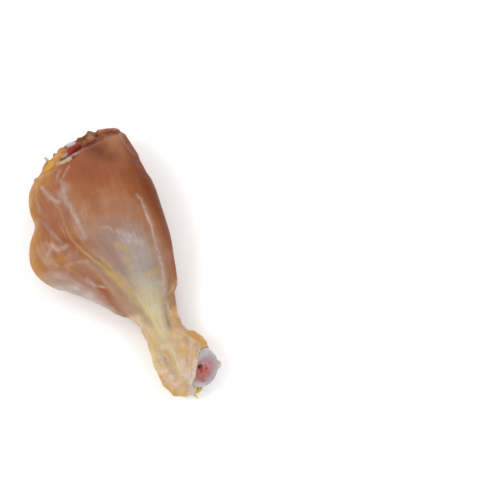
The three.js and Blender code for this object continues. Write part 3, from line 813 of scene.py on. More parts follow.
def new_piece(name, points, faces):
    """A smooth mesh object at the origin, from points in mm of the part's frame."""
    mesh = bpy.data.meshes.new(name)
    mesh.from_pydata(((points + TO_MIDDLE) * MM).tolist(), [], faces)
    mesh.update()
    mesh.shade_smooth()
    return link(bpy.data.objects.new(name, mesh))


meat_points = meat_rings.reshape(-1, 3)
meat = new_piece("meat", meat_points, ring_faces(len(meat_rings), len(TURN), True))
THIN_EDGES = (RINGS + LIP_RINGS, len(meat_rings) - KNEE_RINGS - 1)
for edge in meat.data.edges:
    if {v // len(TURN) for v in edge.vertices} in ({THIN_EDGES[0]}, {THIN_EDGES[1]}):
        edge.use_edge_sharp = True
print("meat:", 2 * len(meat.data.polygons), "triangles, with thin edges at rings", THIN_EDGES)

# %% [markdown]
# ## Where each finish lies
# Raw meat is a patchwork: bare muscle in several tones, silvery film, yellow fat along the seams,
# cream tendon, and fatty tissue at the ankle. Some finishes are painted shade, on the flanks and in
# the creases, and painted highlights, where the wet films catch the light. Each finish gets a
# weight on every point of the mesh, stored as an attribute. It is drawn on the picture where the
# camera sees the leg. The hidden sides get theirs by rules: fat follows the seams that were made
# above, film lies in long streaks, and the ankle's fatty tissue starts at a place along the leg.

# %% The canvas of the meat
meat_out = normals(meat_rings, closed=True).reshape(-1, 3)
canvas = Canvas(meat_points, meat_out, wander=16, facing=PAINTED_SIDE)
soft_canvas = Canvas(meat_points, meat_out, wander=6, facing=SOFT_SIDE)
lit_canvas = Canvas(meat_points, meat_out, wander=26, facing=LIT_SIDE)
facing_it = meat_out @ np.array(BACK)
# Each is 0 where the surface faces the camera and 1 where it is turned away. They differ in
# where they change.
hidden = 1 - canvas.facing
softly_hidden = 1 - fade(facing_it, -0.35, 0.2)
near_hidden = 1 - fade(facing_it, 0.02, 0.26)
at_the_sides = 1 - fade(facing_it, 0.05, 0.45)
length_x, width_y, _ = meat_points.T
print(f"the camera sees {np.mean(hidden < 0.5):.0%} of the points")

# %% How a finish is laid
FINISH = {}
# Finishes that get bare spots at the sides, and how bare the spots are
PATCHY = {"amber": 0.8, "film": 0.75}
bare = fade(cloud(meat_points * (0.6, 1, 1), 8, 107, 3), -0.3, 0.15)


def lay(name, pens, areas=None, rules=(0,), on=canvas):
    """Draws a finish, keeps the strongest weight at each point and adds what the rules give.

    A pen stroke is its strength, its width and its line. An area is its strength, how soft its
    edge is and its outline. Widths are in pixels.
    """
    weights = [on.pen(*stroke_of) for stroke_of in pens.values()]
    weights += [on.area(*outline_of) for outline_of in (areas or {}).values()]
    FINISH[name] = np.clip(np.max(weights, axis=0) + np.max(rules, axis=0), 0, 1)
    if name in PATCHY:
        FINISH[name] *= 1 - PATCHY[name] * at_the_sides * bare
    print(f"{name}: {np.mean(FINISH[name] > 0.5):.1%} of the points")


print(f"bare spots cover {np.mean(bare * at_the_sides > 0.5):.0%} of the points")

# %% Darker parts of the bare muscle, and painted shade at its edges
LEFT_RIM = "47,171 36,181 31,190 29,202 31,214 33,226 30,240 29,258 35,272 48,283 60,287 74,290"
RIGHT_EDGE = "126,138 134,152 141,168 150,188 158,206 164,222 169,240 173,256 176,276"
lay(
    "dusky",
    {"towards the shin": (0.5, 16, "134,176")},
    {"upper belly": (0.66, 26, "70,150 96,140 122,136 134,150 142,172 120,184 92,180 74,176")},
)
# Darker over a patch just below the knee's second fold
lay("dark_patch", {
    "dark patch": (1, 15, "92,147 100,151"), "its tail": (0.75, 12, "103,155 110,157"),
    "its head": (0.4, 9, "86,150"),
})
# Painted shade: the right flank, turned away from the light, and the rims are darkened in colour
lay("shade", {
    "right edge": (
        (0.8, 0.85, 0.95, 1, 1, 0.8, 0.65, 0.5, 0.4), (8, 13, 18, 17, 13, 9, 7, 6, 5), RIGHT_EDGE,
    ),
    "upper flank": (0.6, 22, "137,172 150,196"), "flank": (0.45, 11, "160,212 166,234"),
    "left rim": (0.2, 4, "30,186 28.5,202 31,216"), "lobe's rim": (0.25, 5, "29,240 28,256 32,268"),
    "shin muscle at the notch": (0.15, 5, "173,294 172,304"),
}, on=soft_canvas)
lay(
    "rosy",
    {
        "below the knee": (0.8, 26, "72,166 90,172"),
        # The lip of the slit is darkened as painted shade over its lit edge
        "lip of the slit": (0.8, 3, "73,158 84,150 95,144 103,141"),
        "beside the long film": (0.6, 14, "64,209"),
        "above the feathers": (0.9, 10, "68,243 74,246"), "left lobe": (0.45, 16, "50,222"),
        "below the seam": (0.7, 8, "80,253"),
    },
    {"between film and groove": (0.5, 9, "80,268 96,273 108,286 124,309 118,316 104,303 92,290")},
)

# %% Light tones of the bare muscle
lay("light", {
    "middle": (0.7, 20, "106,197 113,214"), "beside the seam": (0.8, 18, "84,212 94,232 86,246"),
    "over the lobe": (0.55, 14, "66,228 72,236"), "arm": (0.6, 16, "56,196 62,206"),
    "below the seam": (0.6, 12, "92,262 84,266"),
})
lay("amber", {
    "left rim": (
        (1, 1, 1, 1, 1, 1, 1, 1, 1, 0.8, 0.35, 0.1),
        (9, 12, 13, 12, 9, 10, 15, 18, 16, 13, 10, 8),
        LEFT_RIM,
    ),
    "lobe": (0.75, 18, "42,262"), "towards the film": (0.6, 12, "58,262"),
    "film's start": (0.4, 9, "70,267"), "under the long film": (0.45, 10, "78,230"),
    "upper corner": (0.6, 13, "44,181"), "shin corner": (0.32, 10, "114,141"),
}, on=soft_canvas)

# %% Silvery film, in long streaks on the hidden sides
film_streaks = np.zeros(len(meat_points))
film_streaks[:FIBRE.shape[0] * FIBRE.shape[1]] = fade(stretched(7, 34, 101), 0, 0.5)
lay(
    "veil",
    {
        "left of the long film": (0.35, 20, "62,200 76,222"), "by the crest": (0.5, 10, "166,256"),
        "across the belly": (0.3, 12, "100,203 128,204 139,207"),
        "below the seam": (0.5, 13, "74,257 84,267 94,276"),
    },
    {
        "middle": (0.75, 20, "76,227 106,215 128,213 146,224 158,240 164,268 164,294 120,282 96,258"),
        "towards the neck": (0.55, 16, "112,292 134,300 140,322 118,316"),
    },
)
lay(
    "silver",
    {
        "left arm": (0.45, 8, "104,230 112,244"), "right arm": (0.5, 9, "156,252 160,276"),
        "beside the fat": (0.6, 9, "98,254 108,264 118,275 125,283"),
    },
    {"fascia": (1, 20, "112,236 128,228 142,236 152,250 158,268 162,290 140,288 122,272")},
)

# %% Darker streaks and the film by the lobe
lay("mauve", {
    "left streak": (0.7, 7, "100,238 110,252 118,266"), "middle streak": (0.55, 6, "114,258 124,274"),
    "right streak": (0.4, 5, "140,262 148,284"),
})
lay(
    "film",
    {
        "under its line": (
            (0.45, 0.55, 0.5, 0.5, 0.4), (9, 12, 13, 12, 9), "50,275 64,279 80,287 95,299 110,311",
        ),
        "along the rim": (
            (0.45, 0.75, 1, 1, 0.95, 0.8, 0.5), (11, 13, 15, 14, 11, 9, 6),
            "46,279 58,286 74,291 88,299 100,307 110,312 118,316",
        ),
        "over the lobe": (0.24, 15, "44,251 50,264"),
    },
    rules=[0.5 * hidden * film_streaks],
)
# Partly a lilac tone, partly painted shade: the groove and the lobe's furrow are darkened in colour
lay("groove", {
    "groove": (0.9, (3, 4.5, 5.5, 5, 4.5, 4.5, 5, 6), GROOVE),
    "furrow of the lobe": (0.5, (3, 5, 3), "42,220 50,231 62,243"),
})
lay("strip", {
    "beside the groove": (
        1, (4, 5, 6, 7, 8, 10, 12), "87,263 95,269 103,278 111,288 119,298 129,309 141,324",
    ),
    "above the groove": (0.5, 4, "93,250 104,262 112,271"),
})

# %% Tendon
lay(
    "tendon",
    {
        "tendon": (
            (0.1, 0.45, 0.9, 1, 1, 1, 1, 0.8), (40, 36, 28, 23, 18, 16, 14, 10),
            "144,268 145,284 150.5,299 153.5,311 157.5,322 160.5,330 164.5,338 167.5,344",
        ),
        "cord to the heel": (0.7, (6, 6, 3), "168,343 172,350 175,359"),
        "left wing": ((0.3, 0.85, 1, 0.9), (12, 10, 8, 6), "128,287 137,298.5 145,310 151.5,321"),
    },
)
# Painted shade: the furrows beside the tendon and the neck's right rim are darkened in colour
lay("painted_neck_shade", {
    "left of the tendon": ((0.3, 0.8, 0.8, 0.3), (3, 4, 4.6, 4), "131,298 139,309 146,319 151,326"),
    "right of the tendon": ((0.5, 0.8, 0.7), (2.6, 4, 4), "165,306 167,315 168.5,324"),
    "neck's right rim": ((0.4, 0.9, 0.8), (4, 6, 6), "178,319 183,326 187.5,331"),
})
lay("honey", {
    "along the left edge": (0.7, (4, 6, 7, 8, 6), "136,300 144,312 150,322 156,331 162,339"),
    "tendon's middle": (0.5, 9, "154,316 158,328"), "tendon's tip": (0.7, 7, "157,330 162,337 166,342"),
    "ankle's left rim": (0.6, (5, 7, 7, 6), "150.5,338 152,348 155,358 159,367"),
    "border of the fold": (0.9, (3, 3.4, 4, 3.4, 3), "168,352 171,358 175,365 180,374 185,383"),
    "strand below the tip": (0.8, (5, 4.5, 4), "168.5,341 172,347 175,353"),
    "at the fascia": (0.35, 10, "146,306"),
})

# %% The fatty tissue of the ankle, with lilac hollows
ANKLE = (
    "138,316 148,326 156,338 166,345 172,340 168,322 165,310 170,311 177,308 190,325 215,345 "
    "215,400 165,402 148,360 128,318"
)
# Its upper end on the hidden sides, in mm along the leg, leans across the leg and is ragged
ankle_reach = length_x - 0.45 * width_y + 3 * cloud(meat_points, 7, 109, 2)
lay(
    "ankle",
    {"left neck": (0.55, 12, "140,323 147,334")},
    {"ankle": (1, 10, ANKLE)},
    [near_hidden * fade(ankle_reach, 21, 30)],
)
lay("lilac", {
    "hollow": (0.65, (7, 10, 11, 8), "163,353 167,360 171,367 174,373"),
    "under the knot": (0.8, 3.4, "185,379.8 190,379.5"),
    "beside the tendon": (0.85, (5, 7, 7, 5), "166,309 168,318 170,326 172,330"),
    "left neck": (0.8, 6, "142,318 146,323 150,327"),
    "by the orange band": (0.9, 6, "185,339 187.5,345"),
    "right neck": (0.6, 6, "176,326 178,332"), "above the cap": (0.65, 5, "194,349 196,344"),
    "middle": (0.45, 7, "176,345 178,355"), "beside the sinew": (0.45, 8, "188,352 189,364"),
    "heel": (0.45, 7, "176,379 181,381"), "below the tendon": (0.55, 7, "157,342 160,347"),
})

# %% Orange fat
lay("orange", {
    "heel's edge": (1, (4, 7, 9, 7), "160,376 164.5,383 170,389.5 176,395"),
    "left neck": (0.8, 5, "144,331 146,336"), "left edge": (0.7, 5, "150,338 151,346"),
    "golden part": (0.4, 10, "179,339 181,345"),
    "streak by the cap": (0.55, 2.6, "193,346 192,357 190.5,364"),
    "at the cap": (0.6, 2.6, "197.3,351 196.8,358"),
    "orange tissue at the knee": ((0.8, 1, 0.8, 0.4), (7, 10, 9, 6), "56,162.5 58,156 62,151 66,148.5"),
    "edge of the shin muscle": (0.55, 4, "177,282 177.5,287 175,291"),
    "spot by the sinew": (1, 3.6, "188,360 187.5,366"),
    "neck's right edge": (1, (4, 8, 11, 9), "174,309 175,316 180,325 187,332"),
    "beside the neck": (0.4, 12, "176,330 184,343 191,354"),
}, {
    "orange band": (
        1, 4,
        "176,314 183,321 190,328 197,331 203,336 208,344 202,345 196,341 190,337 184,333.5 180,328 175,320",
    ),
})

# %% Sinew and pink spots
lay("sinew", {
    "band over the cap": (
        (0.3, 0.4, 0.7, 1, 1, 1, 1), (3, 4, 4.6, 5, 5.5, 7.5, 10),
        "198.5,351 197,359 195.5,366 193.5,373 192,380 191,387 192.5,394",
    ),
    "pale knot": (1, 9, "185,373.5 188,376"), "grey part": (0.7, 9, "181,362 182.5,369"),
    "streaks": (0.6, 3, "191,348 189.5,358 188.5,366"),
    "right streak": (0.6, 2.6, "195,347 194.5,356 193,364"),
    "below the tendon": (0.65, (4, 5, 4), "168,344 171,349 174,354"),
    "strand": (0.45, 4, "180,364 183,372 184,378"),
    # a painted highlight: a white wet speck on the heel
    "painted highlight speck": (1, 3.6, "171.3,376.3"),
})
lay("pink", {
    "heel": (0.9, 10, "176,380 180,386"), "by the white spot": (0.9, 3.4, "169.5,377 170.5,381"),
    "middle": (0.5, 8, "184,354"), "above the cap": (0.5, 6, "205,345 208,349"),
    "small spot": (0.6, 4, "164,357.5"), "left edge": (0.5, 6, "151,335"),
})

# %% Yellow fat
SEAM_RULES = ("front_seam", "back_seam", "inner_seam")
seam_fat = sum(stroke(meat_points, side, line, 1.5) for side, _, _, line in map(CREASES.get, SEAM_RULES))
lay(
    "fat",
    {
        "thin seam": ((0.3, 0.4, 0.55, 0.8, 0.95), (1.6, 1.6, 1.8, 2.2, 2.8), THIN_SEAM),
        "wide seam": ((1, 1, 1, 1, 0.95, 0.8, 0.6, 0.3), (2.6, 3.6, 5, 6.5, 8, 8, 7, 5), WIDE_SEAM),
        "beside it": (0.7, (2, 3.4, 2), "100,256 104,261 111,268"),
        "upper patch": (0.65, (5, 8, 6), "117,244 122,246 127,249"),
        "middle patch": (0.65, 8, "126.5,258"), "lower patch": (0.5, 7, "130.5,268"),
        "right patch": (0.65, (5, 7, 5), "147,275.5 151,274.5 156,270"),
        "upper right patch": (0.35, 8, "151,248"),
    },
    rules=[0.8 * softly_hidden * seam_fat],
)
lay("cream", {
    "end of the shin muscle": (0.65, 2, "174,285 172,290 168,293.5 165.5,298 163.5,304 163.5,311"),
    "left of the tendon": (0.6, 3.4, "120,284 128,294 136,304"),
    "streak in it": (0.5, 3, "154,288 155,302"),
})
lay(
    "bright_fat",
    {
        "fold at the heel": (1, 3.4, "186,381 186.5,386 185.5,392"),
        "middle of the ankle": (1, 6.5, "181.5,350.5"),
        "at the cap": (0.95, 5, "202,345.5 204,346"),
        "below the heel": (0.95, 3.4, "180,395 189,395"),
        "left edge": (0.5, 5, "154,364 156,369"),
        "beside the tendon's tip": (0.75, 4, "166,350 170,356"), "by the sinew": (0.6, 4, "196,356"),
        "neck": (0.4, 3, "188,331.5"), "below the neck": (0.35, 6, "171,333"),
        "right of it": (0.35, 5, "179,342"), "right edge": (0.5, 4, "186,331 192,333"),
    },
    {"at the knee": (1, 2.5, "43,171 46,165 49,161 53,160.5 54.5,164 52,167.5 47,171")},
)

# %% The torn knee
hidden_torn = 0.9 * (1 - fade(length_x, -60.5, -58)) * np.maximum(hidden, 0.35)
lay(
    "torn",
    {"peak": (0.8, 4, "89,133.5")},
    {"torn face": (1, 3, "72,158 77,152 84,147 95,141 107,136.5 120,134 118,124 96,126 80,133 70,141")},
    [hidden_torn],
)
lay("tan_bits", {
    "peak": (0.9, 4, "89,133"), "by the roll": (0.6, 4, "101,131"), "middle": (0.8, 5, "91,139.5"),
    "right": (0.55, 4, "104,134.5"), "left": (0.7, 3.4, "80,143 84,141.5"),
    "above the slit": (0.5, 3, "95,139.5 101,138"),
})
lay(
    "white_strip",
    {"greenish start": (0.85, 2.6, "57,163.6 61,162.6 65,161"), "pinkish end": (0.6, 3, "73,154.5 76,153")},
    {
        "above the slit": (1, 2, "61,159.5 62,155.5 67,153 70,154 67,157 64,159"),
        "below the slit": (1, 2, "64,161.8 66,159 71,156.4 72,158.8 68,161.4"),
    },
)
lay(
    "blood",
    {
        # In the slit the dark red is partly blood and partly painted shade of the crease
        "slit": (1, (1.8, 2.2, 2.6, 2.6), "61,159.8 68,156 74,152 80,147.5"),
        "its end": (0.85, (2.6, 2, 1.4), "80,147.5 88,143.8 96,140"),
        "spot": (0.75, 3, "85,139"), "spot by the peak": (0.6, 4, "97,135.5"),
        # Under the roll too the dark red is partly painted shade
        "under the roll": (0.6, (2, 3, 2), "104,133 112,132.8 120,131.8"),
        "below the strip": (0.6, 3, "73.5,157.3"),
        "beside the sinew": (0.35, 1.6, "191.3,373 191.3,377"),
    },
)
lay(
    "red", {"beside it": (0.6, 3, "83,144.5 88,142")},
    {"red patch": (1, 2, "67,148.5 72,146 78,144.3 82,145 80,149 75,152 71,154.5 67,154")},
)
lay("roll", {
    "roll": (0.9, 4, "98,132 107,130 113,129.2 119,130.6"), "beside it": (0.5, 3, "118,137 124,138"),
})

# %% Painted highlights: whitish streaks where the wet films and ridges catch the light
# Partly the films' own whitish tone, partly painted highlights, laid where the surface faces the camera
lay("wet", {
    "long film": (
        0.75, (4, 8, 9, 6, 5, 6, 8, 8), "62,182 65,188 63,194 66,201 72,209 76,218 80,227 84,236",
    ),
    "film of the arm": (0.75, (3, 5, 5, 4), ARM_FILM), "streak": (0.35, 2.6, "56,184 57,176 59.5,171"),
    "streak beside it": (0.35, 2.6, "59,182 63,177 66,171 69,166"),
    "feathers": (0.6, (4, 5, 6, 6, 5), "48,254 52,246 57,249.5 62,248 67,246"),
    "arc": (0.4, (4, 4, 3, 2), "46,261 47,256 50,251 54,247"),
    "foot of the arc": (0.3, 3, "47,263 52,264.5 60,266"),
    "film line": (0.4, 2.6, FILM_LINE), "film rim": (0.3, 3, FILM_RIM),
    "above the film": (0.45, (4, 3), "46,280 60,275"),
    "film's shine": (0.4, 5, "72,282 77,286 83,288"),
    "leaf": (0.6, (4, 4, 3, 2), "87,279 90,283 97,286 105,287"),
    "crest": (0.65, 2.8, CREST), "furrow": (0.35, 3, "44,224 52,233 60,240"),
    "left rim": (0.4, 2, "36,188 37,200 40,212"),
    "ridge": (0.4, (2, 2.6, 4, 8, 10, 9, 6), "101,227.5 108,227 114,230 121,233 129,238 137,242 145,247"),
    "below the ridge": (0.3, 8, "133,248 142,252"),
    "beside the tendon": (0.8, 1.6, "167,302 167.6,309 168.6,316"),
    "shin corner": (0.3, 2.2, "119.5,136.5 123,141 128,147.5 134,155"),
    "in the film": (0.2, 8, "92,301 102,307"), "tendon's tip": (0.5, 3, "160,337 163,340 167,342"),
}, on=lit_canvas)

# %% Fine painted glints
lay("glint", {
    "crest": ((0.7, 1, 1, 1, 1, 0.9, 0.6), (1.8, 2.2, 2.2, 2.2, 2.2), CREST),
    "beside the tendon": (0.8, 2, "166.5,300 167.5,308 168.6,316"),
    "ridge": (
        (0.5, 0.6, 0.8, 0.9, 0.9, 0.7), (2.4, 3, 5, 8, 10, 9),
        "102,227.5 109,227.5 116,231.5 123,235 131,239.5 140,244",
    ),
    "fascia": (0.4, (12, 16, 12), "132,250 140,262 148,280"),
    "leaf": (0.8, (3, 4, 3, 2), "88,280 92,284 98,286.5 105,287"),
    "long film": (0.5, (4, 4, 3, 3), "62,188 66,200 74,215 83,233"), "arm": (0.5, 3, ARM_FILM),
    "feathers": (0.6, 4, "52,244 56,249 62,248.5 67,246"), "arc": (0.4, 2.4, "46,260 47,255 50,250"),
    "film": (0.4, 6, "72,283 84,291 98,302"), "heel": (1, 3, "171.3,376.3"),
    "tendon's tip": (0.6, 3, "161,337 165,340"),
    "streak": (0.5, 2.4, "56.5,182 57.5,175 60,170"),
    "streak beside it": (0.5, 2.4, "61,181 66,172 70,166"),
}, on=lit_canvas)

# %% Store the weights on the mesh


def store(piece, name, values):
    """Keeps one number or one vector for each point of a piece, under a name."""
    kind = "FLOAT" if np.ndim(values) == 1 else "FLOAT_VECTOR"
    field = "value" if np.ndim(values) == 1 else "vector"
    attribute = piece.data.attributes.new(name, kind, "POINT")
    attribute.data.foreach_set(field, np.asarray(values, np.float32).ravel())


for name, weight in FINISH.items():
    store(meat, name, weight)
rest = np.repeat(FIBRE[-1:], len(meat_rings) - RINGS, 0)
# The ankle is spotted, but less so where another finish lies on it
spotted = FINISH["ankle"].copy()
for name, share in (("tendon", 1), ("sinew", 1), ("orange", 0.7), ("bright_fat", 0.7), ("lilac", 0.5)):
    spotted *= 1 - share * FINISH[name]
store(meat, "spotted", spotted)
store(meat, "fibre", np.concatenate([FIBRE, rest]).reshape(-1, 3) * MM)
print("attributes on the meat:", len(FINISH) + 2)

# %% [markdown]
# ## The finish of wet meat
# Muscle lets light in a little way and glows inside, and its wet film mirrors the lamps. The
# shader therefore scatters light under the surface and has a clear coat over it. The finishes lie
# over each other: muscle with its tones and painted shade first, then films, the fatty tissue,
# tendon, fat and sinew, painted highlights, and blood last. Where two meet, fine noise makes the edge
# ragged.

# %% Colours as they are seen
# A colour is written as it looks on the screen. The light is a little brighter than white and
# the wet coat adds some white to it, so both are taken off before the shader gets it.
LIGHT_LEVEL = 1.27
WET_WHITE = 0.024
DARKEST = 0.002


def wet(red, green, blue):
    """The shader's colour for one that is seen, from 0 to 255 and in the screen's own curve."""
    seen = np.array((red, green, blue)) / 255
    # The screen's curve: straight in the darkest tones, a power above them
    linear = np.where(seen < 0.0404, seen / 12.92, ((seen + 0.055) / 1.055) ** 2.4)
    return (*np.clip((linear - WET_WHITE) / LIGHT_LEVEL, DARKEST, 1), 1)


print("brown on the screen", (167, 112, 78), "is", [round(float(v), 3) for v in wet(167, 112, 78)])

# %% A small kit for shader nodes


class ShaderKit:
    """A material, with short calls to add nodes to it."""

    def __init__(self, name):
        """Starts from Blender's own plain material."""
        self.material = bpy.data.materials.new(name)
        self.material.use_nodes = True
        self.tree = self.material.node_tree
        self.shader = self.tree.nodes["Principled BSDF"]

    def put(self, socket, value):
        """Links another node's output to a socket, or sets a plain value on it."""
        if isinstance(value, bpy.types.NodeSocket):
            self.tree.links.new(value, socket)
        else:
            socket.default_value = value

    def node(self, kind, **settings):
        """A shader node with its settings."""
        node = self.tree.nodes.new("ShaderNode" + kind)
        for key, value in settings.items():
            setattr(node, key, value)
        return node

    def math(self, operation, a, b):
        """One sum, difference or product of two values."""
        node = self.node("Math", operation=operation)
        self.put(node.inputs[0], a)
        self.put(node.inputs[1], b)
        return node.outputs[0]

    def weight(self, name):
        """A weight that is stored on the mesh."""
        return self.node("Attribute", attribute_name=name).outputs["Fac"]

    def between(self, value, low, high, to_low=0.0, to_high=1.0):
        """The value stretched from low..high to to_low..to_high, and cut off there."""
        node = self.node("MapRange", clamp=True)
        for socket, v in zip(node.inputs, (value, low, high, to_low, to_high)):
            self.put(socket, v)
        return node.outputs[0]

    def mix(self, factor, a, b, how="MIX"):
        """Colour b laid over colour a."""
        node = self.node("Mix", data_type="RGBA", blend_type=how)
        # The node has a set of sockets for each kind of value: 6, 7 and output 2 are for colours
        for place, value in ((0, factor), (6, a), (7, b)):
            self.put(node.inputs[place], value)
        return node.outputs[2]


print("short calls:", [call for call in vars(ShaderKit) if call[0] != "_"])

# %% Noise, relief and gloss


class Finish(ShaderKit):
    """A material of the leg: noise for its colours, fine relief, and a wet gloss."""

    def grain(self, size, detail=2.0, rough=0.5, along=None):
        """Noise of that size in mm, on Object coordinates or on a stored vector."""
        if along:
            source = self.node("Attribute", attribute_name=along).outputs["Vector"]
        else:
            source = self.node("TexCoord").outputs["Object"]
        scaled = self.node("Mapping")
        self.put(scaled.inputs["Vector"], source)
        scaled.inputs["Scale"].default_value = [1 / MM / v for v in np.broadcast_to(size, 3)]
        noise_node = self.node("TexNoise")
        self.put(noise_node.inputs["Vector"], scaled.outputs["Vector"])
        noise_node.inputs["Scale"].default_value = 1
        noise_node.inputs["Detail"].default_value = detail
        noise_node.inputs["Roughness"].default_value = rough
        return noise_node.outputs["Fac"]

    def bump(self, height, strength, distance):
        """Relief that is too fine for the mesh, distance in mm, under the coat too."""
        node = self.node("Bump")
        self.put(node.inputs["Height"], height)
        node.inputs["Strength"].default_value = strength
        node.inputs["Distance"].default_value = distance * MM
        self.put(self.shader.inputs["Normal"], node.outputs[0])
        self.put(self.shader.inputs["Coat Normal"], node.outputs[0])

    def gloss(self, scatter, deep, red_deep, coat, coat_rough, mirror=0.15):
        """Light under the surface, deep in mm, and a clear wet coat on it."""
        self.shader.inputs["Subsurface Weight"].default_value = scatter
        self.shader.inputs["Subsurface Radius"].default_value = red_deep
        self.shader.inputs["Subsurface Scale"].default_value = deep * MM
        self.shader.inputs["Specular IOR Level"].default_value = mirror
        self.shader.inputs["Coat Weight"].default_value = coat
        self.shader.inputs["Coat Roughness"].default_value = coat_rough


flesh = Finish("wet_meat")
print("a new material has", [node.name for node in flesh.tree.nodes])

# %% The layers on the meat
# Each: the finish, two colours that noise mixes, how opaque it is, how soft and how ragged
LAYERS = [
    ("light", (175, 125, 94), (169, 117, 86), 0.9, 0.5, 0.2),
    ("dusky", (156, 101, 73), (148, 94, 68), 0.95, 0.5, 0.2),
    ("rosy", (150, 84, 62), (157, 94, 68), 0.92, 0.5, 0.2),
    ("dark_patch", (112, 68, 52), (122, 76, 58), 0.9, 0.5, 0.1),
    # painted shade of the flank and the rims
    ("shade", (118, 62, 26), (126, 69, 32), 0.95, 0.5, 0.3),
    ("amber", (194, 142, 82), (186, 132, 76), 0.95, 0.5, 0.6),
    ("veil", (171, 141, 123), (165, 133, 117), 0.95, 0.5, 0.3),
    ("silver", (166, 153, 147), (160, 145, 138), 0.95, 0.5, 0.35),
    ("mauve", (152, 124, 116), (160, 132, 124), 0.8, 0.5, 0.4),
    ("film", (204, 196, 190), (188, 170, 160), 0.92, 0.5, 0.6),
    ("strip", (182, 148, 124), (176, 138, 112), 0.9, 0.45, 0.4),
    # partly painted shade in the groove
    ("groove", (166, 138, 124), (172, 146, 132), 0.85, 0.45, 0.3),
    ("torn", (130, 84, 68), (150, 106, 84), 1, 0.35, 0.5),
    ("ankle", (220, 198, 168), (213, 188, 156), 1, 0.45, 0.4),
    ("pink", (216, 178, 150), (212, 168, 138), 0.85, 0.5, 0.3),
    ("lilac", (190, 160, 144), (182, 150, 136), 0.92, 0.45, 0.3),
    ("orange", (204, 154, 90), (200, 146, 84), 0.95, 0.5, 0.3),
    ("tendon", (210, 204, 174), (204, 198, 166), 0.97, 0.5, 0.3),
    ("honey", (212, 186, 124), (206, 178, 120), 0.9, 0.5, 0.3),
    # painted shade at the neck
    ("painted_neck_shade", (170, 140, 116), (164, 134, 118), 0.9, 0.5, 0.2),
    ("fat", (202, 170, 114), (194, 160, 104), 0.9, 0.5, 0.45),
    ("cream", (200, 178, 140), (194, 168, 130), 0.85, 0.4, 0.3),
    ("bright_fat", (214, 172, 82), (208, 158, 72), 0.92, 0.4, 0.4),
    ("sinew", (218, 203, 190), (211, 193, 178), 0.96, 0.4, 0.2),
    ("tan_bits", (172, 122, 72), (160, 108, 70), 0.9, 0.35, 0.3),
    ("roll", (172, 98, 62), (162, 88, 56), 0.9, 0.5, 0.4),
    ("white_strip", (190, 178, 152), (182, 164, 148), 0.95, 0.3, 0.3),
    # painted highlights, partly the films' own whitish tone
    ("wet", (188, 170, 160), (182, 160, 146), 0.75, 0.45, 0.8),
    ("red", (168, 74, 60), (146, 50, 42), 0.95, 0.4, 0.4),
    ("blood", (128, 36, 30), (96, 26, 20), 0.95, 0.4, 0.3),
]
print("layers:", len(LAYERS), " from", LAYERS[0][0], "to", LAYERS[-1][0])

# %% The meat's colour, layer by layer
grain = flesh.grain(1.5, 3, 0.6)
patches = flesh.grain(6)
fibres = flesh.grain((0.9, 0.9, 16), 3, 0.6, along="fibre")
streaks = flesh.grain((2.6, 2.6, 26), 2, 0.5, along="fibre")
mottle = flesh.between(patches, 0.38, 0.62)
colour = flesh.mix(mottle, wet(166, 112, 80), wet(159, 102, 73))
colour = flesh.mix(flesh.between(streaks, 0.45, 0.75, 0, 0.3), colour, wet(184, 132, 98))
edge_grain = flesh.math("ADD", flesh.math("MULTIPLY", grain, 0.55), flesh.math("MULTIPLY", fibres, 0.45))
edge_grain = flesh.math("SUBTRACT", edge_grain, 0.5)
for name, one, other, opaque, soft, ragged in LAYERS:
    weight = flesh.weight(name)
    pushed = flesh.math("ADD", weight, flesh.math("MULTIPLY", edge_grain, ragged))
    factor = flesh.between(pushed, 0.5 - soft, 0.5 + soft, 0, opaque)
    factor = flesh.math("MULTIPLY", factor, flesh.between(weight, 0.01, 0.12))
    colour = flesh.mix(factor, colour, flesh.mix(mottle, wet(*one), wet(*other)))
print("nodes for the layers:", len(flesh.tree.nodes))

# %% Painted glints, grains of the ankle, fibres and gloss
# Painted glints: near-white fine lines along the fibres, where the glint weight lies
painted_glints = flesh.between(flesh.grain((0.42, 0.42, 2.2), 3, 0.65, along="fibre"), 0.45, 0.62)
painted_glints = flesh.math("MULTIPLY", painted_glints, flesh.between(flesh.weight("glint"), 0.1, 0.9, 0, 0.55))
colour = flesh.mix(painted_glints, colour, wet(216, 200, 192))
ankle = flesh.weight("spotted")
# Each: its size in mm, the noise where it starts and is full, its strength and its colour
for size, low, high, strength, tint in (
    (6.0, 0.46, 0.62, 0.5, (216, 184, 118)), (7.0, 0.48, 0.64, 0.45, (198, 170, 152)),
    (3.4, 0.5, 0.64, 0.5, (226, 212, 186)), (4.6, 0.58, 0.7, 0.5, (208, 158, 98)),
    (1.4, 0.5, 0.7, 0.25, (216, 190, 150)),
):
    spots = flesh.between(flesh.grain((size, size * 1.2, size * 0.9)), low, high, 0, strength)
    colour = flesh.mix(flesh.math("MULTIPLY", spots, ankle), colour, wet(*tint))
lean = flesh.node("CombineColor")
for socket in lean.inputs[:3]:
    flesh.put(socket, flesh.between(fibres, 0.3, 0.7, 0.94, 1.05))
colour = flesh.mix(1.0, colour, lean.outputs[0], "MULTIPLY")
flesh.put(flesh.shader.inputs["Base Color"], colour)
flesh.put(flesh.shader.inputs["Roughness"], flesh.between(grain, 0.3, 0.7, 0.4, 0.6))
flesh.gloss(0.2, 1.6, (1.0, 0.45, 0.3), 0.2, 0.2, 0.05)
# No coat where the shade is painted, so that no reflection lightens it
flesh.put(flesh.shader.inputs["Coat Weight"], flesh.between(flesh.weight("shade"), 0.05, 0.5, 0.2, 0))
fine = flesh.grain(0.6, 2, 0.6)
relief = flesh.math("ADD", flesh.math("MULTIPLY", fibres, 0.6), flesh.math("MULTIPLY", fine, 0.4))
flesh.bump(relief, 0.5, 0.22)
meat.data.materials.append(flesh.material)
print("nodes in the meat's material:", len(flesh.tree.nodes))

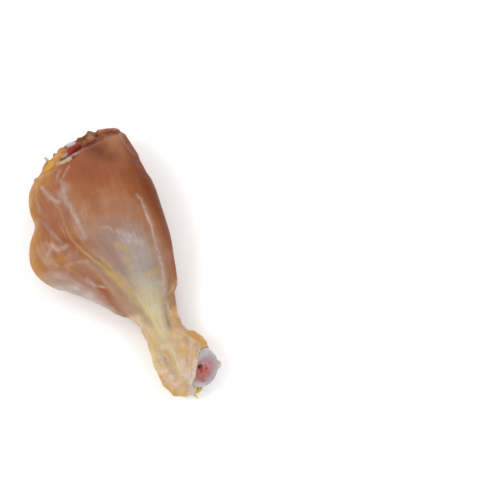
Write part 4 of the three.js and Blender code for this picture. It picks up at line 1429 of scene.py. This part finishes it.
# %% [markdown]
# ## Cartilage
# Cartilage, smooth and bluish white, caps the knob at the hock and the head at the knee. The caps
# are turned forms: rings round an axis, outside and inside, joined at their edges. The knife has
# cut the hock's cap open, so its rings run from its back edge to the round edge of the cut.

# %% The caps' sizes and the knife's cut
CUT_FACING = np.array((0.6, 0.43, 0.68))
CUT_FACING /= np.linalg.norm(CUT_FACING)
CUT_DEPTH = 3.7
CUT_AWAY = KNOB_RADIUS - CUT_DEPTH
HOCK_CARTILAGE, KNEE_CARTILAGE = 1.3, 1.5
# How far each cap reaches behind the middle of its ball, as a share of the radius
BEHIND = 0.35
CAP_TURN = np.linspace(0, 2 * np.pi, 132, endpoint=False)
print("the cut is", round(2 * math.sqrt(KNOB_RADIUS**2 - CUT_AWAY**2), 1), "mm across")

# %% Turned rings


def around(axis, polar, turn):
    """Directions at the angles polar from an axis: one row for each."""
    side = np.cross((0, 0, 1), axis)
    side = side / np.linalg.norm(side)
    ring = np.cos(turn)[:, None] * side + np.sin(turn)[:, None] * np.cross(axis, side)
    polar = np.atleast_1d(polar)[:, None, None]
    return np.cos(polar) * np.asarray(axis) + np.sin(polar) * ring


def closed_by_poles(rings, start, end):
    """Points and faces of a form with one more point at each end."""
    count = rings.shape[1]
    points = np.concatenate([[start], rings.reshape(-1, 3), [end]])
    faces = (np.array(ring_faces(len(rings), count, False)) + 1).tolist()
    top = 1 + (len(rings) - 1) * count
    for j in range(count):
        k = (j + 1) % count
        faces.append((0, 1 + k, 1 + j))
        faces.append((len(points) - 1, top + j, top + k))
    return points, faces


def swollen(points, centre, height, size, seed):
    """Points moved in and out from a centre by noise, so that a turned form looks grown."""
    away = points - centre
    away /= np.linalg.norm(away, axis=-1, keepdims=True)
    return points + away * (height * cloud(points, size, seed, 2))[..., None]


print("rings and their points:", around(CUT_FACING, (0.5, 1), CAP_TURN).shape[:2])

# %% The hock's cap
OUTWARDS = np.array((0.78, 0.62, 0)) / math.hypot(0.78, 0.62)
INNER_RADIUS = KNOB_RADIUS - HOCK_CARTILAGE


def shell(radius, count):
    """Rings of a ball from the cap's back edge to the knife's cut."""
    back = around(OUTWARDS, math.acos(-BEHIND * KNOB_RADIUS / radius), CAP_TURN)
    front = around(CUT_FACING, math.acos(CUT_AWAY / radius), CAP_TURN)
    return radius * np.concatenate([back, turned_between(back[0], front[0], count), front])


OUTSIDE_RINGS, CUT_RINGS, INSIDE_RINGS = 40, 9, 14
BLUNT, BLUNT_BESIDE = 0.12, 0.02
outside, inside = shell(KNOB_RADIUS, OUTSIDE_RINGS), shell(INNER_RADIUS, INSIDE_RINGS)[::-1]
edge = outside[-1] - inside[0]
cut_ring = inside[0] + edge * np.linspace(0.9, 0.1, CUT_RINGS)[:, None, None]
outside[-1] -= BLUNT * edge + BLUNT * CUT_FACING
outside[-2] -= BLUNT_BESIDE * edge
cap_rings = swollen(KNOB_AT + np.concatenate([outside, cut_ring, inside]), KNOB_AT, 0.16, 5, 71)
cap_points = cap_rings.reshape(-1, 3)
hock_cap = new_piece("hock_cap", cap_points, ring_faces(len(cap_rings), len(CAP_TURN), True))
print("hock cap:", 2 * len(hock_cap.data.polygons), "triangles")

# %% The knee's cap
# Its hump shows in the picture: how high it is in mm, its width in pixels and its line
KNEE_HUMP = (0.5, 8, "70,145 74,144")
polar = np.linspace(0, math.acos(-BEHIND), 34)[1:]
inner_radii = HEAD_RADII - KNEE_CARTILAGE
knee_rings = np.concatenate([
    HEAD_AT + inner_radii * around((-1, 0, 0), polar, CAP_TURN),
    HEAD_AT + HEAD_RADII * around((-1, 0, 0), polar[::-1], CAP_TURN),
])
inner_pole, outer_pole = (HEAD_AT - (radii[0], 0, 0) for radii in (inner_radii, HEAD_RADII))
knee_points, knee_faces = closed_by_poles(knee_rings, inner_pole, outer_pole)
knee_points = swollen(knee_points, HEAD_AT, 0.2, 4, 77)
knee_out = (knee_points - HEAD_AT) / np.linalg.norm(knee_points - HEAD_AT, axis=1, keepdims=True)
hump = Canvas(knee_points, knee_out).pen(*KNEE_HUMP)
knee_points = knee_points + knee_out * hump[:, None]
knee_cap = new_piece("knee_cap", knee_points, knee_faces)
print("knee cap:", len(knee_cap.data.polygons), "faces")

# %% [markdown]
# ## The bone
# Only its cut knob shows: spongy red marrow with a dark hole where a vessel ran. The rest is made
# all the same, so that the leg is right inside. Knob, shaft and head are three turned forms, and a
# boolean joins them into one.

# %% The knob with its cut
SLACK = 0.05
across_cut = np.cross((0, 1, 0), CUT_FACING)
across_cut /= np.linalg.norm(across_cut)
along_cut = np.cross(CUT_FACING, across_cut)
VESSEL = -2.1 * across_cut - 1.7 * along_cut
knob_radius = INNER_RADIUS - SLACK
cut_polar = math.acos(CUT_AWAY / knob_radius)
cut_radius = knob_radius * math.sin(cut_polar)
cut_middle = CUT_AWAY * CUT_FACING


def from_vessel(off):
    """How far a place on the cut is from the hole, with a ragged edge."""
    return np.linalg.norm(off - VESSEL, axis=-1) + 0.5 * cloud(off, 1.6, 83, 2)


def marrow(off):
    """How far the cut stands up or sinks: spongy bone round the hole of a vessel."""
    out = np.linalg.norm(off, axis=-1) / cut_radius
    sponge = 0.25 * cloud(off, 1.7, 85, 3) - 0.12
    hole = 1.3 * np.exp(-((from_vessel(off) / 1.25) ** 2))
    return ((sponge - hole - 0.25 * out**2) * (1 - fade(out, 0.85, 1)))[..., None] * CUT_FACING


ball = knob_radius * around(CUT_FACING, np.linspace(math.pi, cut_polar, 26)[1:], CAP_TURN)
towards_middle = cut_radius * np.linspace(0.97, 0.03, 30)[:, None, None]
flat = towards_middle * around(CUT_FACING, math.pi / 2, CAP_TURN)
knob_rings = np.concatenate([ball, cut_middle + flat + marrow(flat)])
knob_ends = (-knob_radius * CUT_FACING, cut_middle + marrow(np.zeros(3)))
bone = new_piece("bone", *closed_by_poles(KNOB_AT + knob_rings, *(KNOB_AT + p for p in knob_ends)))
print("knob:", len(bone.data.polygons), "faces")

# %% Shaft and head, joined to it
SHAFT_TURN = np.linspace(0, 2 * np.pi, 48, endpoint=False)
shaft = bone_rings(np.linspace(0.02, 0.975, 70), SHAFT_TURN)
shaft_part = new_piece("shaft_part", *closed_by_poles(shaft, shaft[0].mean(0), shaft[-1].mean(0)))
radii = inner_radii - SLACK
head = HEAD_AT + radii * around((1, 0, 0), np.linspace(math.pi, 0, 40)[1:-1], SHAFT_TURN)
head_ends = [HEAD_AT + (side * radii[0], 0, 0) for side in (-1, 1)]
head_part = new_piece("head_part", *closed_by_poles(head, *head_ends))
for part in (shaft_part, head_part):
    join = bone.modifiers.new("join", "BOOLEAN")
    join.operation, join.solver, join.object = "UNION", "EXACT", part


def baked(piece):
    """Turns what the modifiers make into the piece's own plain mesh."""
    view = bpy.context.evaluated_depsgraph_get()
    mesh = bpy.data.meshes.new_from_object(piece.evaluated_get(view))
    piece.modifiers.clear()
    piece.data = mesh
    return mesh


baked(bone).shade_smooth()
for part in (shaft_part, head_part):
    bpy.data.objects.remove(part)
print("bone:", len(bone.data.polygons), "faces")

# %% [markdown]
# ## Finish of bone and cartilage
# Cartilage is milky: light goes far into it, so it gets strong scattering with a cold tint.
# Marrow is deep red with pale specks of spongy bone, and paler towards the cartilage.

# %% Where the marrow is red
bone_points = np.array([v.co for v in bone.data.vertices]) / MM - TO_MIDDLE
above_cut = (bone_points - KNOB_AT) @ CUT_FACING
off = bone_points - KNOB_AT - above_cut[:, None] * CUT_FACING
from_middle = np.linalg.norm(off, axis=1) / cut_radius + 0.1 * cloud(bone_points, 2, 91)
red_side = off @ (0.5 * across_cut - 0.85 * along_cut) / cut_radius
store(bone, "marrow", fade(above_cut, CUT_AWAY - 2.5, CUT_AWAY - 1.5))
# The cut's lower left stays red right up to the sinew that covers the cap there
low_left = fade(off @ (-np.array(RIGHT) - 0.6 * np.array(UP)) / cut_radius, 0.2, 0.8)
store(bone, "outer", fade(from_middle, 0.44, 0.78) * (1 - low_left))
store(bone, "chalky", 0.9 * fade(from_middle, 0.7, 0.94) * (1 - low_left))
# The hole is dark red: partly the vessel's blood, partly painted shade of the hole
store(bone, "vessel", np.exp(-((from_vessel(off) / 1.35) ** 4)))
store(bone, "red_side", fade(red_side + 0.3 * cloud(bone_points, 2.4, 93), -0.5, 0.5))
# Two spots of fresh blood beside the hole
FRESH = VESSEL + 2.4 * along_cut + 2.5 * across_cut
BESIDE = VESSEL - 0.3 * along_cut + 1.9 * across_cut
fresh = [np.exp(-((np.linalg.norm(off - spot, axis=1) / 1.1) ** 2)) for spot in (FRESH, BESIDE)]
store(bone, "fresh", np.maximum(*fresh))
print("points on the cut:", int((above_cut > CUT_AWAY - 1.5).sum()))

# %% The material of bone and marrow
spongy = Finish("marrow_bone")
sponge = spongy.grain(0.9, 3, 0.6)
speckle = spongy.between(sponge, 0.36, 0.64)
pale_marrow = spongy.mix(speckle, wet(176, 112, 114), wet(202, 172, 168))
red_marrow = spongy.mix(speckle, wet(164, 88, 82), wet(188, 128, 120))
colour = spongy.mix(spongy.weight("red_side"), pale_marrow, red_marrow)
colour = spongy.mix(spongy.weight("fresh"), colour, wet(182, 62, 48))
colour = spongy.mix(spongy.weight("outer"), colour, wet(184, 130, 138))
colour = spongy.mix(spongy.weight("chalky"), colour, wet(184, 166, 174))
# dark red of the hole, partly painted shade
colour = spongy.mix(spongy.weight("vessel"), colour, wet(84, 22, 24))
colour = spongy.mix(spongy.weight("marrow"), wet(206, 192, 176), colour)
spongy.put(spongy.shader.inputs["Base Color"], colour)
spongy.put(spongy.shader.inputs["Roughness"], spongy.between(sponge, 0.3, 0.7, 0.3, 0.5))
spongy.gloss(0.2, 1.0, (1.0, 0.4, 0.4), 0.35, 0.14)
spongy.bump(sponge, 0.6, 0.3)
bone.data.materials.clear()
bone.data.materials.append(spongy.material)
print("nodes in the marrow:", len(spongy.tree.nodes))

# %% Cartilage
# Where blood has stained it: how strongly, how soft the edge is in pixels, and the outline
WASHED = (0.8, 5, "188,369 199,368 202,377 205,382 188,382")
BELOW_HUMP = (1, 3, "66,149 69,146.6 75,144.5 84,140 84,152 70,156")
milky = Finish("milky_cartilage")
cloudy = milky.grain(3.5, 3)
colour = milky.mix(milky.between(cloudy, 0.36, 0.64), wet(182, 182, 180), wet(192, 186, 188))
colour = milky.mix(milky.weight("shin_side"), colour, wet(184, 168, 174))
colour = milky.mix(milky.weight("inner"), colour, wet(186, 158, 166))
colour = milky.mix(milky.weight("washed"), colour, wet(176, 118, 114))
colour = milky.mix(milky.weight("stain"), colour, wet(150, 60, 50))
milky.put(milky.shader.inputs["Base Color"], colour)
milky.put(milky.shader.inputs["Roughness"], milky.between(cloudy, 0.3, 0.7, 0.24, 0.36))
milky.gloss(0.45, 1.6, (1.0, 0.8, 0.8), 0.4, 0.1)
milky.bump(milky.grain(1.2), 0.25, 0.3)
from_knob = cap_points - KNOB_AT
above_cut = from_knob @ CUT_FACING
from_axis = np.linalg.norm(from_knob - above_cut[:, None] * CUT_FACING, axis=1)
on_cut = fade(above_cut, CUT_AWAY - 0.7, CUT_AWAY - 0.1)
store(hock_cap, "inner", on_cut * (1 - fade(from_axis + 0.4 * cloud(cap_points, 3, 95), 4.8, 6.5)))
on_cap = Canvas(cap_points, np.tile(CUT_FACING, (len(cap_points), 1)))
store(hock_cap, "washed", on_cut * on_cap.area(*WASHED))
store(hock_cap, "shin_side", fade(from_knob @ np.array(RIGHT), 2, 8) * (1 - 0.4 * on_cut))
below_hump = Canvas(knee_points, knee_out).area(*BELOW_HUMP)
blotches = fade(cloud(knee_points, 5, 97), 0.2, 0.6) * (1 - fade(knee_points[:, 2], 14, 20))
store(knee_cap, "stain", np.maximum(below_hump, blotches))
for cap in (hock_cap, knee_cap):
    cap.data.materials.append(milky.material)
print("nodes in the cartilage:", len(milky.tree.nodes))

# %% [markdown]
# ## Small pieces at both ends
# A plucked leg keeps a few stubs of quills, and the cut joints keep scraps of fat and skin. Each
# is a short tapering rod or a lump. They sit where the picture shows them, at a height where they
# grow out of the meat.

# %% Quill stubs
# Each place: x and y in the picture's pixels, and the height in mm
KNEE_QUILL_LINE = [(53, 165, 17), (48.5, 161.5, 18.5), (44.6, 157.6, 19.5)]
HOCK_QUILL_LINE = [(190, 390, 6), (194, 394.5, 5.6), (198.6, 398.6, 5)]
ROD_RINGS = 14


def under_pixel(x, y, height):
    """The place in the part's frame that is seen at a pixel, at a height in mm."""
    right, down = (np.array((x, y)) - PICTURE / 2) / FOCAL
    ray = right * np.array(RIGHT) - down * np.array(UP) - np.array(BACK)
    return EYE + ray * (height - EYE[2]) / ray[2] - TO_MIDDLE


def rod(name, path, radii, sides=12):
    """A closed rod along a path, with one radius for each place on it."""
    path = smooth_along(path, np.linspace(0, len(path) - 1, ROD_RINGS))
    radii = smooth_along(np.array(radii)[:, None], np.linspace(0, len(radii) - 1, ROD_RINGS))[:, 0]
    tangent = np.gradient(path, axis=0)
    across = np.cross((0, 0, 1), tangent)
    across /= np.linalg.norm(across, axis=1, keepdims=True)
    upward = np.cross(tangent, across)
    upward /= np.linalg.norm(upward, axis=1, keepdims=True)
    turn = np.linspace(0, 2 * np.pi, sides, endpoint=False)
    ring = np.cos(turn)[:, None] * across[:, None] + np.sin(turn)[:, None] * upward[:, None]
    return new_piece(name, *closed_by_poles(path[:, None] + radii[:, None, None] * ring, path[0], path[-1]))


knee_quill = rod("knee_quill", [under_pixel(*place) for place in KNEE_QUILL_LINE], [0.9, 0.8, 0.6])
hock_quill = rod("hock_quill", [under_pixel(*place) for place in HOCK_QUILL_LINE], [1.1, 0.7, 0.15])
print("quills:", [len(q.data.polygons) for q in (knee_quill, hock_quill)], "faces")

# %% Scraps of fat and skin
# Each: x and y in the picture's pixels, and the height in mm
SKIN_TAG_AT = (218.4, 364.8, 11)
FAT_SCRAP_AT = (197.6, 389.8, 8.6)
SINEW_END_AT = (193.6, 388.6, 10.2)
FAT_KNOT_AT = (203.4, 345.4, 14.5)


def scrap(name, place, sizes, lengthwise, seed):
    """A lump of three half sizes in mm, turned so that the first lies along a direction."""
    centre = under_pixel(*place)
    first = np.asarray(lengthwise, float) / np.linalg.norm(lengthwise)
    second = np.cross((0, 0, 1), first)
    second /= np.linalg.norm(second)
    turn = np.linspace(0, 2 * np.pi, 28, endpoint=False)
    rings = around((1, 0, 0), np.linspace(math.pi, 0, 20)[1:-1], turn)
    ball, faces = closed_by_poles(rings, (-1, 0, 0), (1, 0, 0))
    points = centre + (ball * sizes) @ np.stack([first, second, np.cross(first, second)])
    return new_piece(name, swollen(points, centre, 0.3 * min(sizes), min(sizes) * 1.6, seed), faces)


screen_right, screen_down = np.array(RIGHT), -np.array(UP)
skin_tag = scrap("skin_tag", SKIN_TAG_AT, (1.9, 1.3, 0.7), screen_down - 0.2 * screen_right, 111)
fat_scrap = scrap("fat_scrap", FAT_SCRAP_AT, (2.5, 1.4, 1.3), screen_right - 0.6 * screen_down, 113)
sinew_end = scrap("sinew_end", SINEW_END_AT, (3.2, 1.3, 1.3), screen_down - 0.3 * screen_right, 117)
fat_knot = scrap("fat_knot", FAT_KNOT_AT, (1.4, 1.1, 1.0), screen_right + 0.8 * screen_down, 115)
print("scraps:", [len(s.data.polygons) for s in (skin_tag, fat_scrap, fat_knot, sinew_end)], "faces")

# %% Their finishes


def small_finish(name, one, other, size, scatter=0.2):
    """A wet finish of two colours, in spots of that size in mm."""
    finish = Finish(name)
    spots = finish.grain(size, 3, 0.6)
    colour = finish.mix(finish.between(spots, 0.38, 0.62), wet(*one), wet(*other))
    finish.put(finish.shader.inputs["Base Color"], colour)
    finish.put(finish.shader.inputs["Roughness"], finish.between(spots, 0.3, 0.7, 0.32, 0.5))
    finish.gloss(scatter, 1.2, (1.0, 0.7, 0.4), 0.35, 0.15)
    finish.bump(spots, 0.4, 0.2)
    return finish.material


quill_horn = small_finish("quill_horn", (214, 210, 172), (200, 194, 154), 1.4)
pale_sinew = small_finish("pale_sinew", (224, 210, 192), (216, 198, 178), 1.6)
torn_skin = small_finish("torn_skin", (224, 204, 186), (212, 188, 166), 1.4, 0.4)
yellow_fat = small_finish("yellow_fat", (226, 186, 96), (216, 170, 80), 1.2)
for piece, material in (
    (knee_quill, quill_horn),
    (hock_quill, quill_horn),
    (skin_tag, torn_skin),
    (fat_scrap, yellow_fat),
    (fat_knot, yellow_fat),
    (sinew_end, pale_sinew),
):
    piece.data.materials.append(material)
print("finishes of the small pieces:", [m.name for m in (quill_horn, torn_skin, yellow_fat, pale_sinew)])

# %% [markdown]
# ## Sinews and grains of fat, by Geometry Nodes
# Fine sinews run over the ankle, and grains of fat stand in its skin. Both repeat, so a node tree
# makes them. The first sweeps a round profile along lines that lie on the meat. The second strews
# flattened grains over it, thick where an attribute says so. Inputs of the tree hold the sizes.

# %% A kit for node trees


class Tree:
    """A Geometry Nodes tree with named inputs, put on a piece as a modifier."""

    def __init__(self, name, inputs):
        """Each input is its label, its kind and its value."""
        self.tree = bpy.data.node_groups.new(name, "GeometryNodeTree")
        face = self.tree.interface
        face.new_socket("Geometry", in_out="INPUT", socket_type="NodeSocketGeometry")
        self.ids = {}
        for label, kind, _ in inputs:
            self.ids[label] = face.new_socket(label, in_out="INPUT", socket_type=kind).identifier
        face.new_socket("Geometry", in_out="OUTPUT", socket_type="NodeSocketGeometry")
        self.values = {label: value for label, _, value in inputs}
        self.start = self.tree.nodes.new("NodeGroupInput")
        self.end = self.tree.nodes.new("NodeGroupOutput")

    def node(self, kind, inputs=(), **settings):
        """A node with its settings, and with values or other nodes' outputs on its inputs."""
        node = self.tree.nodes.new(kind)
        for key, value in settings.items():
            setattr(node, key, value)
        for place, value in dict(inputs).items():
            if isinstance(value, bpy.types.NodeSocket):
                self.tree.links.new(value, node.inputs[place])
            else:
                node.inputs[place].default_value = value
        return node

    def finish(self, geometry, material):
        """Plain geometry with its material, as the tree's result."""
        real = self.node("GeometryNodeRealizeInstances", {"Geometry": geometry})
        painted = self.node("GeometryNodeSetMaterial", {"Geometry": real.outputs[0], "Material": material})
        self.tree.links.new(painted.outputs[0], self.end.inputs[0])

    def grow(self, piece):
        """Runs the tree on a piece and keeps the result as its mesh."""
        modifier = piece.modifiers.new(self.tree.name, "NODES")
        modifier.node_group = self.tree
        for label, value in self.values.items():
            modifier[self.ids[label]] = value
        return baked(piece)


print("node trees so far:", [tree.name for tree in bpy.data.node_groups])

# %% Lines that lie on the meat
facing_camera = np.where(canvas.facing > 0.6)[0]
facing_at = seen_at(meat_points[facing_camera])


def on_meat(text, lift=0.0):
    """The places of the surface that are seen along a line, lifted off it by so many mm."""
    line = places(text)
    t = np.linspace(0, len(line) - 1, (len(line) - 1) * 6 + 1)
    found = []
    for place in smooth_along(line, t):
        near = facing_camera[((facing_at - place) ** 2).sum(1).argmin()]
        found.append(meat_points[near] + lift * meat_out[near])
    found = np.array(found)
    for _ in range(2):
        found[1:-1] = (found[:-2] + 2 * found[1:-1] + found[2:]) / 4
    return found


print("points that face the camera:", len(facing_camera))

# %% The sinews' lines
SINEWS = {
    "from the orange band": "182,334 186,342 189,350 191,359 191,368",
    "over the golden part": "176,340 181,349 185,358 187,366",
    "left of the cap": "193,345 194,353 193,361 192,370 190,379",
    "at the cap's edge": "198,346 197,354 196,361 194,369",
    "from the tendon's tip": "168,343 171,351 174,359 178,368 183,377",
    "right of the tip": "171,345 175,353 179,361 183,369",
    "into the hollow": "158,347 161,355 165,363 169,371",
    "along the left rim": "153,343 156,352 159,361 163,370 168,379",
    "over the heel": "187,381 186,387 185.5,393",
    "below the cap, left": "192,372 191,379 189,386 188.5,393",
    "below the cap, right": "195,373 193.5,380 191.5,386 191,392",
    "left side of the neck": "145,327 149,336 152,345",
    "right side of the neck": "170,315 172,323 174,331",
    "along the orange band": "174,318 178,326 184,333 190,338",
    "over the heel's roll": "165,378 170,385 176,390",
    "from the fold to the heel": "178,371 181,379 183,387",
    "right side of the tendon": "161,300 162,309 163,318 165,328",
    "left side of the tendon": "148,301 152,311 157,322 162,332",
}
SINEW_LIFT = 0.02
lines = [on_meat(text, SINEW_LIFT) for text in SINEWS.values()]
starts = np.cumsum([0] + [len(line) for line in lines])
edges = [(a + i, a + i + 1) for a, line in zip(starts, lines) for i in range(len(line) - 1)]
sinew_mesh = bpy.data.meshes.new("sinews")
sinew_mesh.from_pydata(((np.concatenate(lines) + TO_MIDDLE) * MM).tolist(), edges, [])
sinews = link(bpy.data.objects.new("sinews", sinew_mesh))
tips = np.concatenate([np.sin(np.pi * np.linspace(0.04, 0.96, len(line))) ** 0.6 for line in lines])
store(sinews, "taper", tips)
print("sinews:", len(SINEWS), "with", len(edges), "short steps")

# %% The sinews, swept along them
SINEW_RADIUS, SINEW_SIDES = 0.2, 8
swept = Tree("sinew_sweep", [
    ("Radius", "NodeSocketFloat", SINEW_RADIUS * MM), ("Sides", "NodeSocketInt", SINEW_SIDES),
])
curve = swept.node("GeometryNodeMeshToCurve", {"Mesh": swept.start.outputs["Geometry"]})
taper = swept.node("GeometryNodeInputNamedAttribute", {"Name": "taper"}, data_type="FLOAT")
profile = swept.node("GeometryNodeCurvePrimitiveCircle", {
    "Radius": swept.start.outputs["Radius"], "Resolution": swept.start.outputs["Sides"],
})
sweep = swept.node("GeometryNodeCurveToMesh", {
    "Curve": curve.outputs[0], "Profile Curve": profile.outputs[0],
    "Scale": taper.outputs[0], "Fill Caps": True,
})
smooth = swept.node("GeometryNodeSetShadeSmooth", {"Geometry": sweep.outputs[0]})
sinew_skin = small_finish("sinew_skin", (214, 190, 156), (204, 172, 132), 2.2)
swept.finish(smooth.outputs[0], sinew_skin)
swept.grow(sinews)
print("sinews:", len(sinews.data.polygons), "faces")

# %% Where grains of fat may lie
near_ankle = FINISH["ankle"] * (1 - FINISH["tendon"]) * (1 - FINISH["sinew"])
on_outside = np.arange(len(meat_points)) < RINGS * len(TURN)
thick = near_ankle * fade(cloud(meat_points, 6, 121, 2), -0.35, 0.3) * on_outside
grains = link(bpy.data.objects.new("fat_grains", meat.data.copy()))
store(grains, "thick", thick)
print(f"grains may lie on {np.mean(thick > 0.5):.0%} of the points")

# %% Grains of fat
GRAIN_SEED = 7
GRAINS_PER_SQUARE_METRE, SMALLEST, LARGEST = 40000.0, 0.35 * MM, 0.75 * MM
FLATNESS = (1.0, 0.8, 0.2)
ROUNDNESS = 2
# A grain has 20 faces, and four times as many for each step of roundness after the first
GRAIN_FACES = 20 * 4 ** (ROUNDNESS - 1)
strewn = Tree("fat_strewing", [
    ("Grains per square metre", "NodeSocketFloat", GRAINS_PER_SQUARE_METRE),
    ("Smallest", "NodeSocketFloat", SMALLEST),
    ("Largest", "NodeSocketFloat", LARGEST),
    ("Seed", "NodeSocketInt", GRAIN_SEED),
])
amount = strewn.node("GeometryNodeInputNamedAttribute", {"Name": "thick"}, data_type="FLOAT")
most = strewn.start.outputs["Grains per square metre"]
density = strewn.node("ShaderNodeMath", {0: amount.outputs[0], 1: most}, operation="MULTIPLY")
spread_out = strewn.node("GeometryNodeDistributePointsOnFaces", {
    "Mesh": strewn.start.outputs["Geometry"], "Density": density.outputs[0],
    "Seed": strewn.start.outputs["Seed"],
})
size = strewn.node("FunctionNodeRandomValue", {
    "Min": strewn.start.outputs["Smallest"], "Max": strewn.start.outputs["Largest"],
    "Seed": strewn.start.outputs["Seed"],
}, data_type="FLOAT")
size_socket = next(s for s in size.outputs if s.enabled)
one_grain = strewn.node("GeometryNodeMeshIcoSphere", {"Radius": 1.0, "Subdivisions": ROUNDNESS})
flat_grain = strewn.node("GeometryNodeTransform", {"Geometry": one_grain.outputs[0], "Scale": FLATNESS})
placed = strewn.node("GeometryNodeInstanceOnPoints", {
    "Points": spread_out.outputs["Points"], "Instance": flat_grain.outputs[0],
    "Rotation": spread_out.outputs["Rotation"], "Scale": size_socket,
})
real = strewn.node("GeometryNodeRealizeInstances", {"Geometry": placed.outputs[0]})
smooth = strewn.node("GeometryNodeSetShadeSmooth", {"Geometry": real.outputs[0]})
fat_skin = small_finish("fat_grain_skin", (216, 188, 144), (208, 174, 124), 3.2)
strewn.finish(smooth.outputs[0], fat_skin)
strewn.grow(grains)
print("grains:", len(grains.data.polygons) // GRAIN_FACES, "with", len(grains.data.polygons), "faces")

# %% [markdown]
# ## Hand the pieces over
# Every piece rides on the leg's one body, and the four big ones stand for the CAD solids.

# %% Bodies and solids
for piece, finish, node in (
    (meat, "muscle", "leg_meat"),
    (bone, "bone", "shin_bone"),
    (hock_cap, "cartilage", "hock_cartilage"),
    (knee_cap, "cartilage", "knee_cartilage"),
    (knee_quill, "fat", None),
    (hock_quill, "fat", None),
    (skin_tag, "fat", None),
    (fat_scrap, "fat", None),
    (fat_knot, "fat", None),
    (sinew_end, "tendon", None),
    (sinews, "tendon", None),
    (grains, "fat", None),
):
    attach(piece, "root")
    if node:
        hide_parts(node)
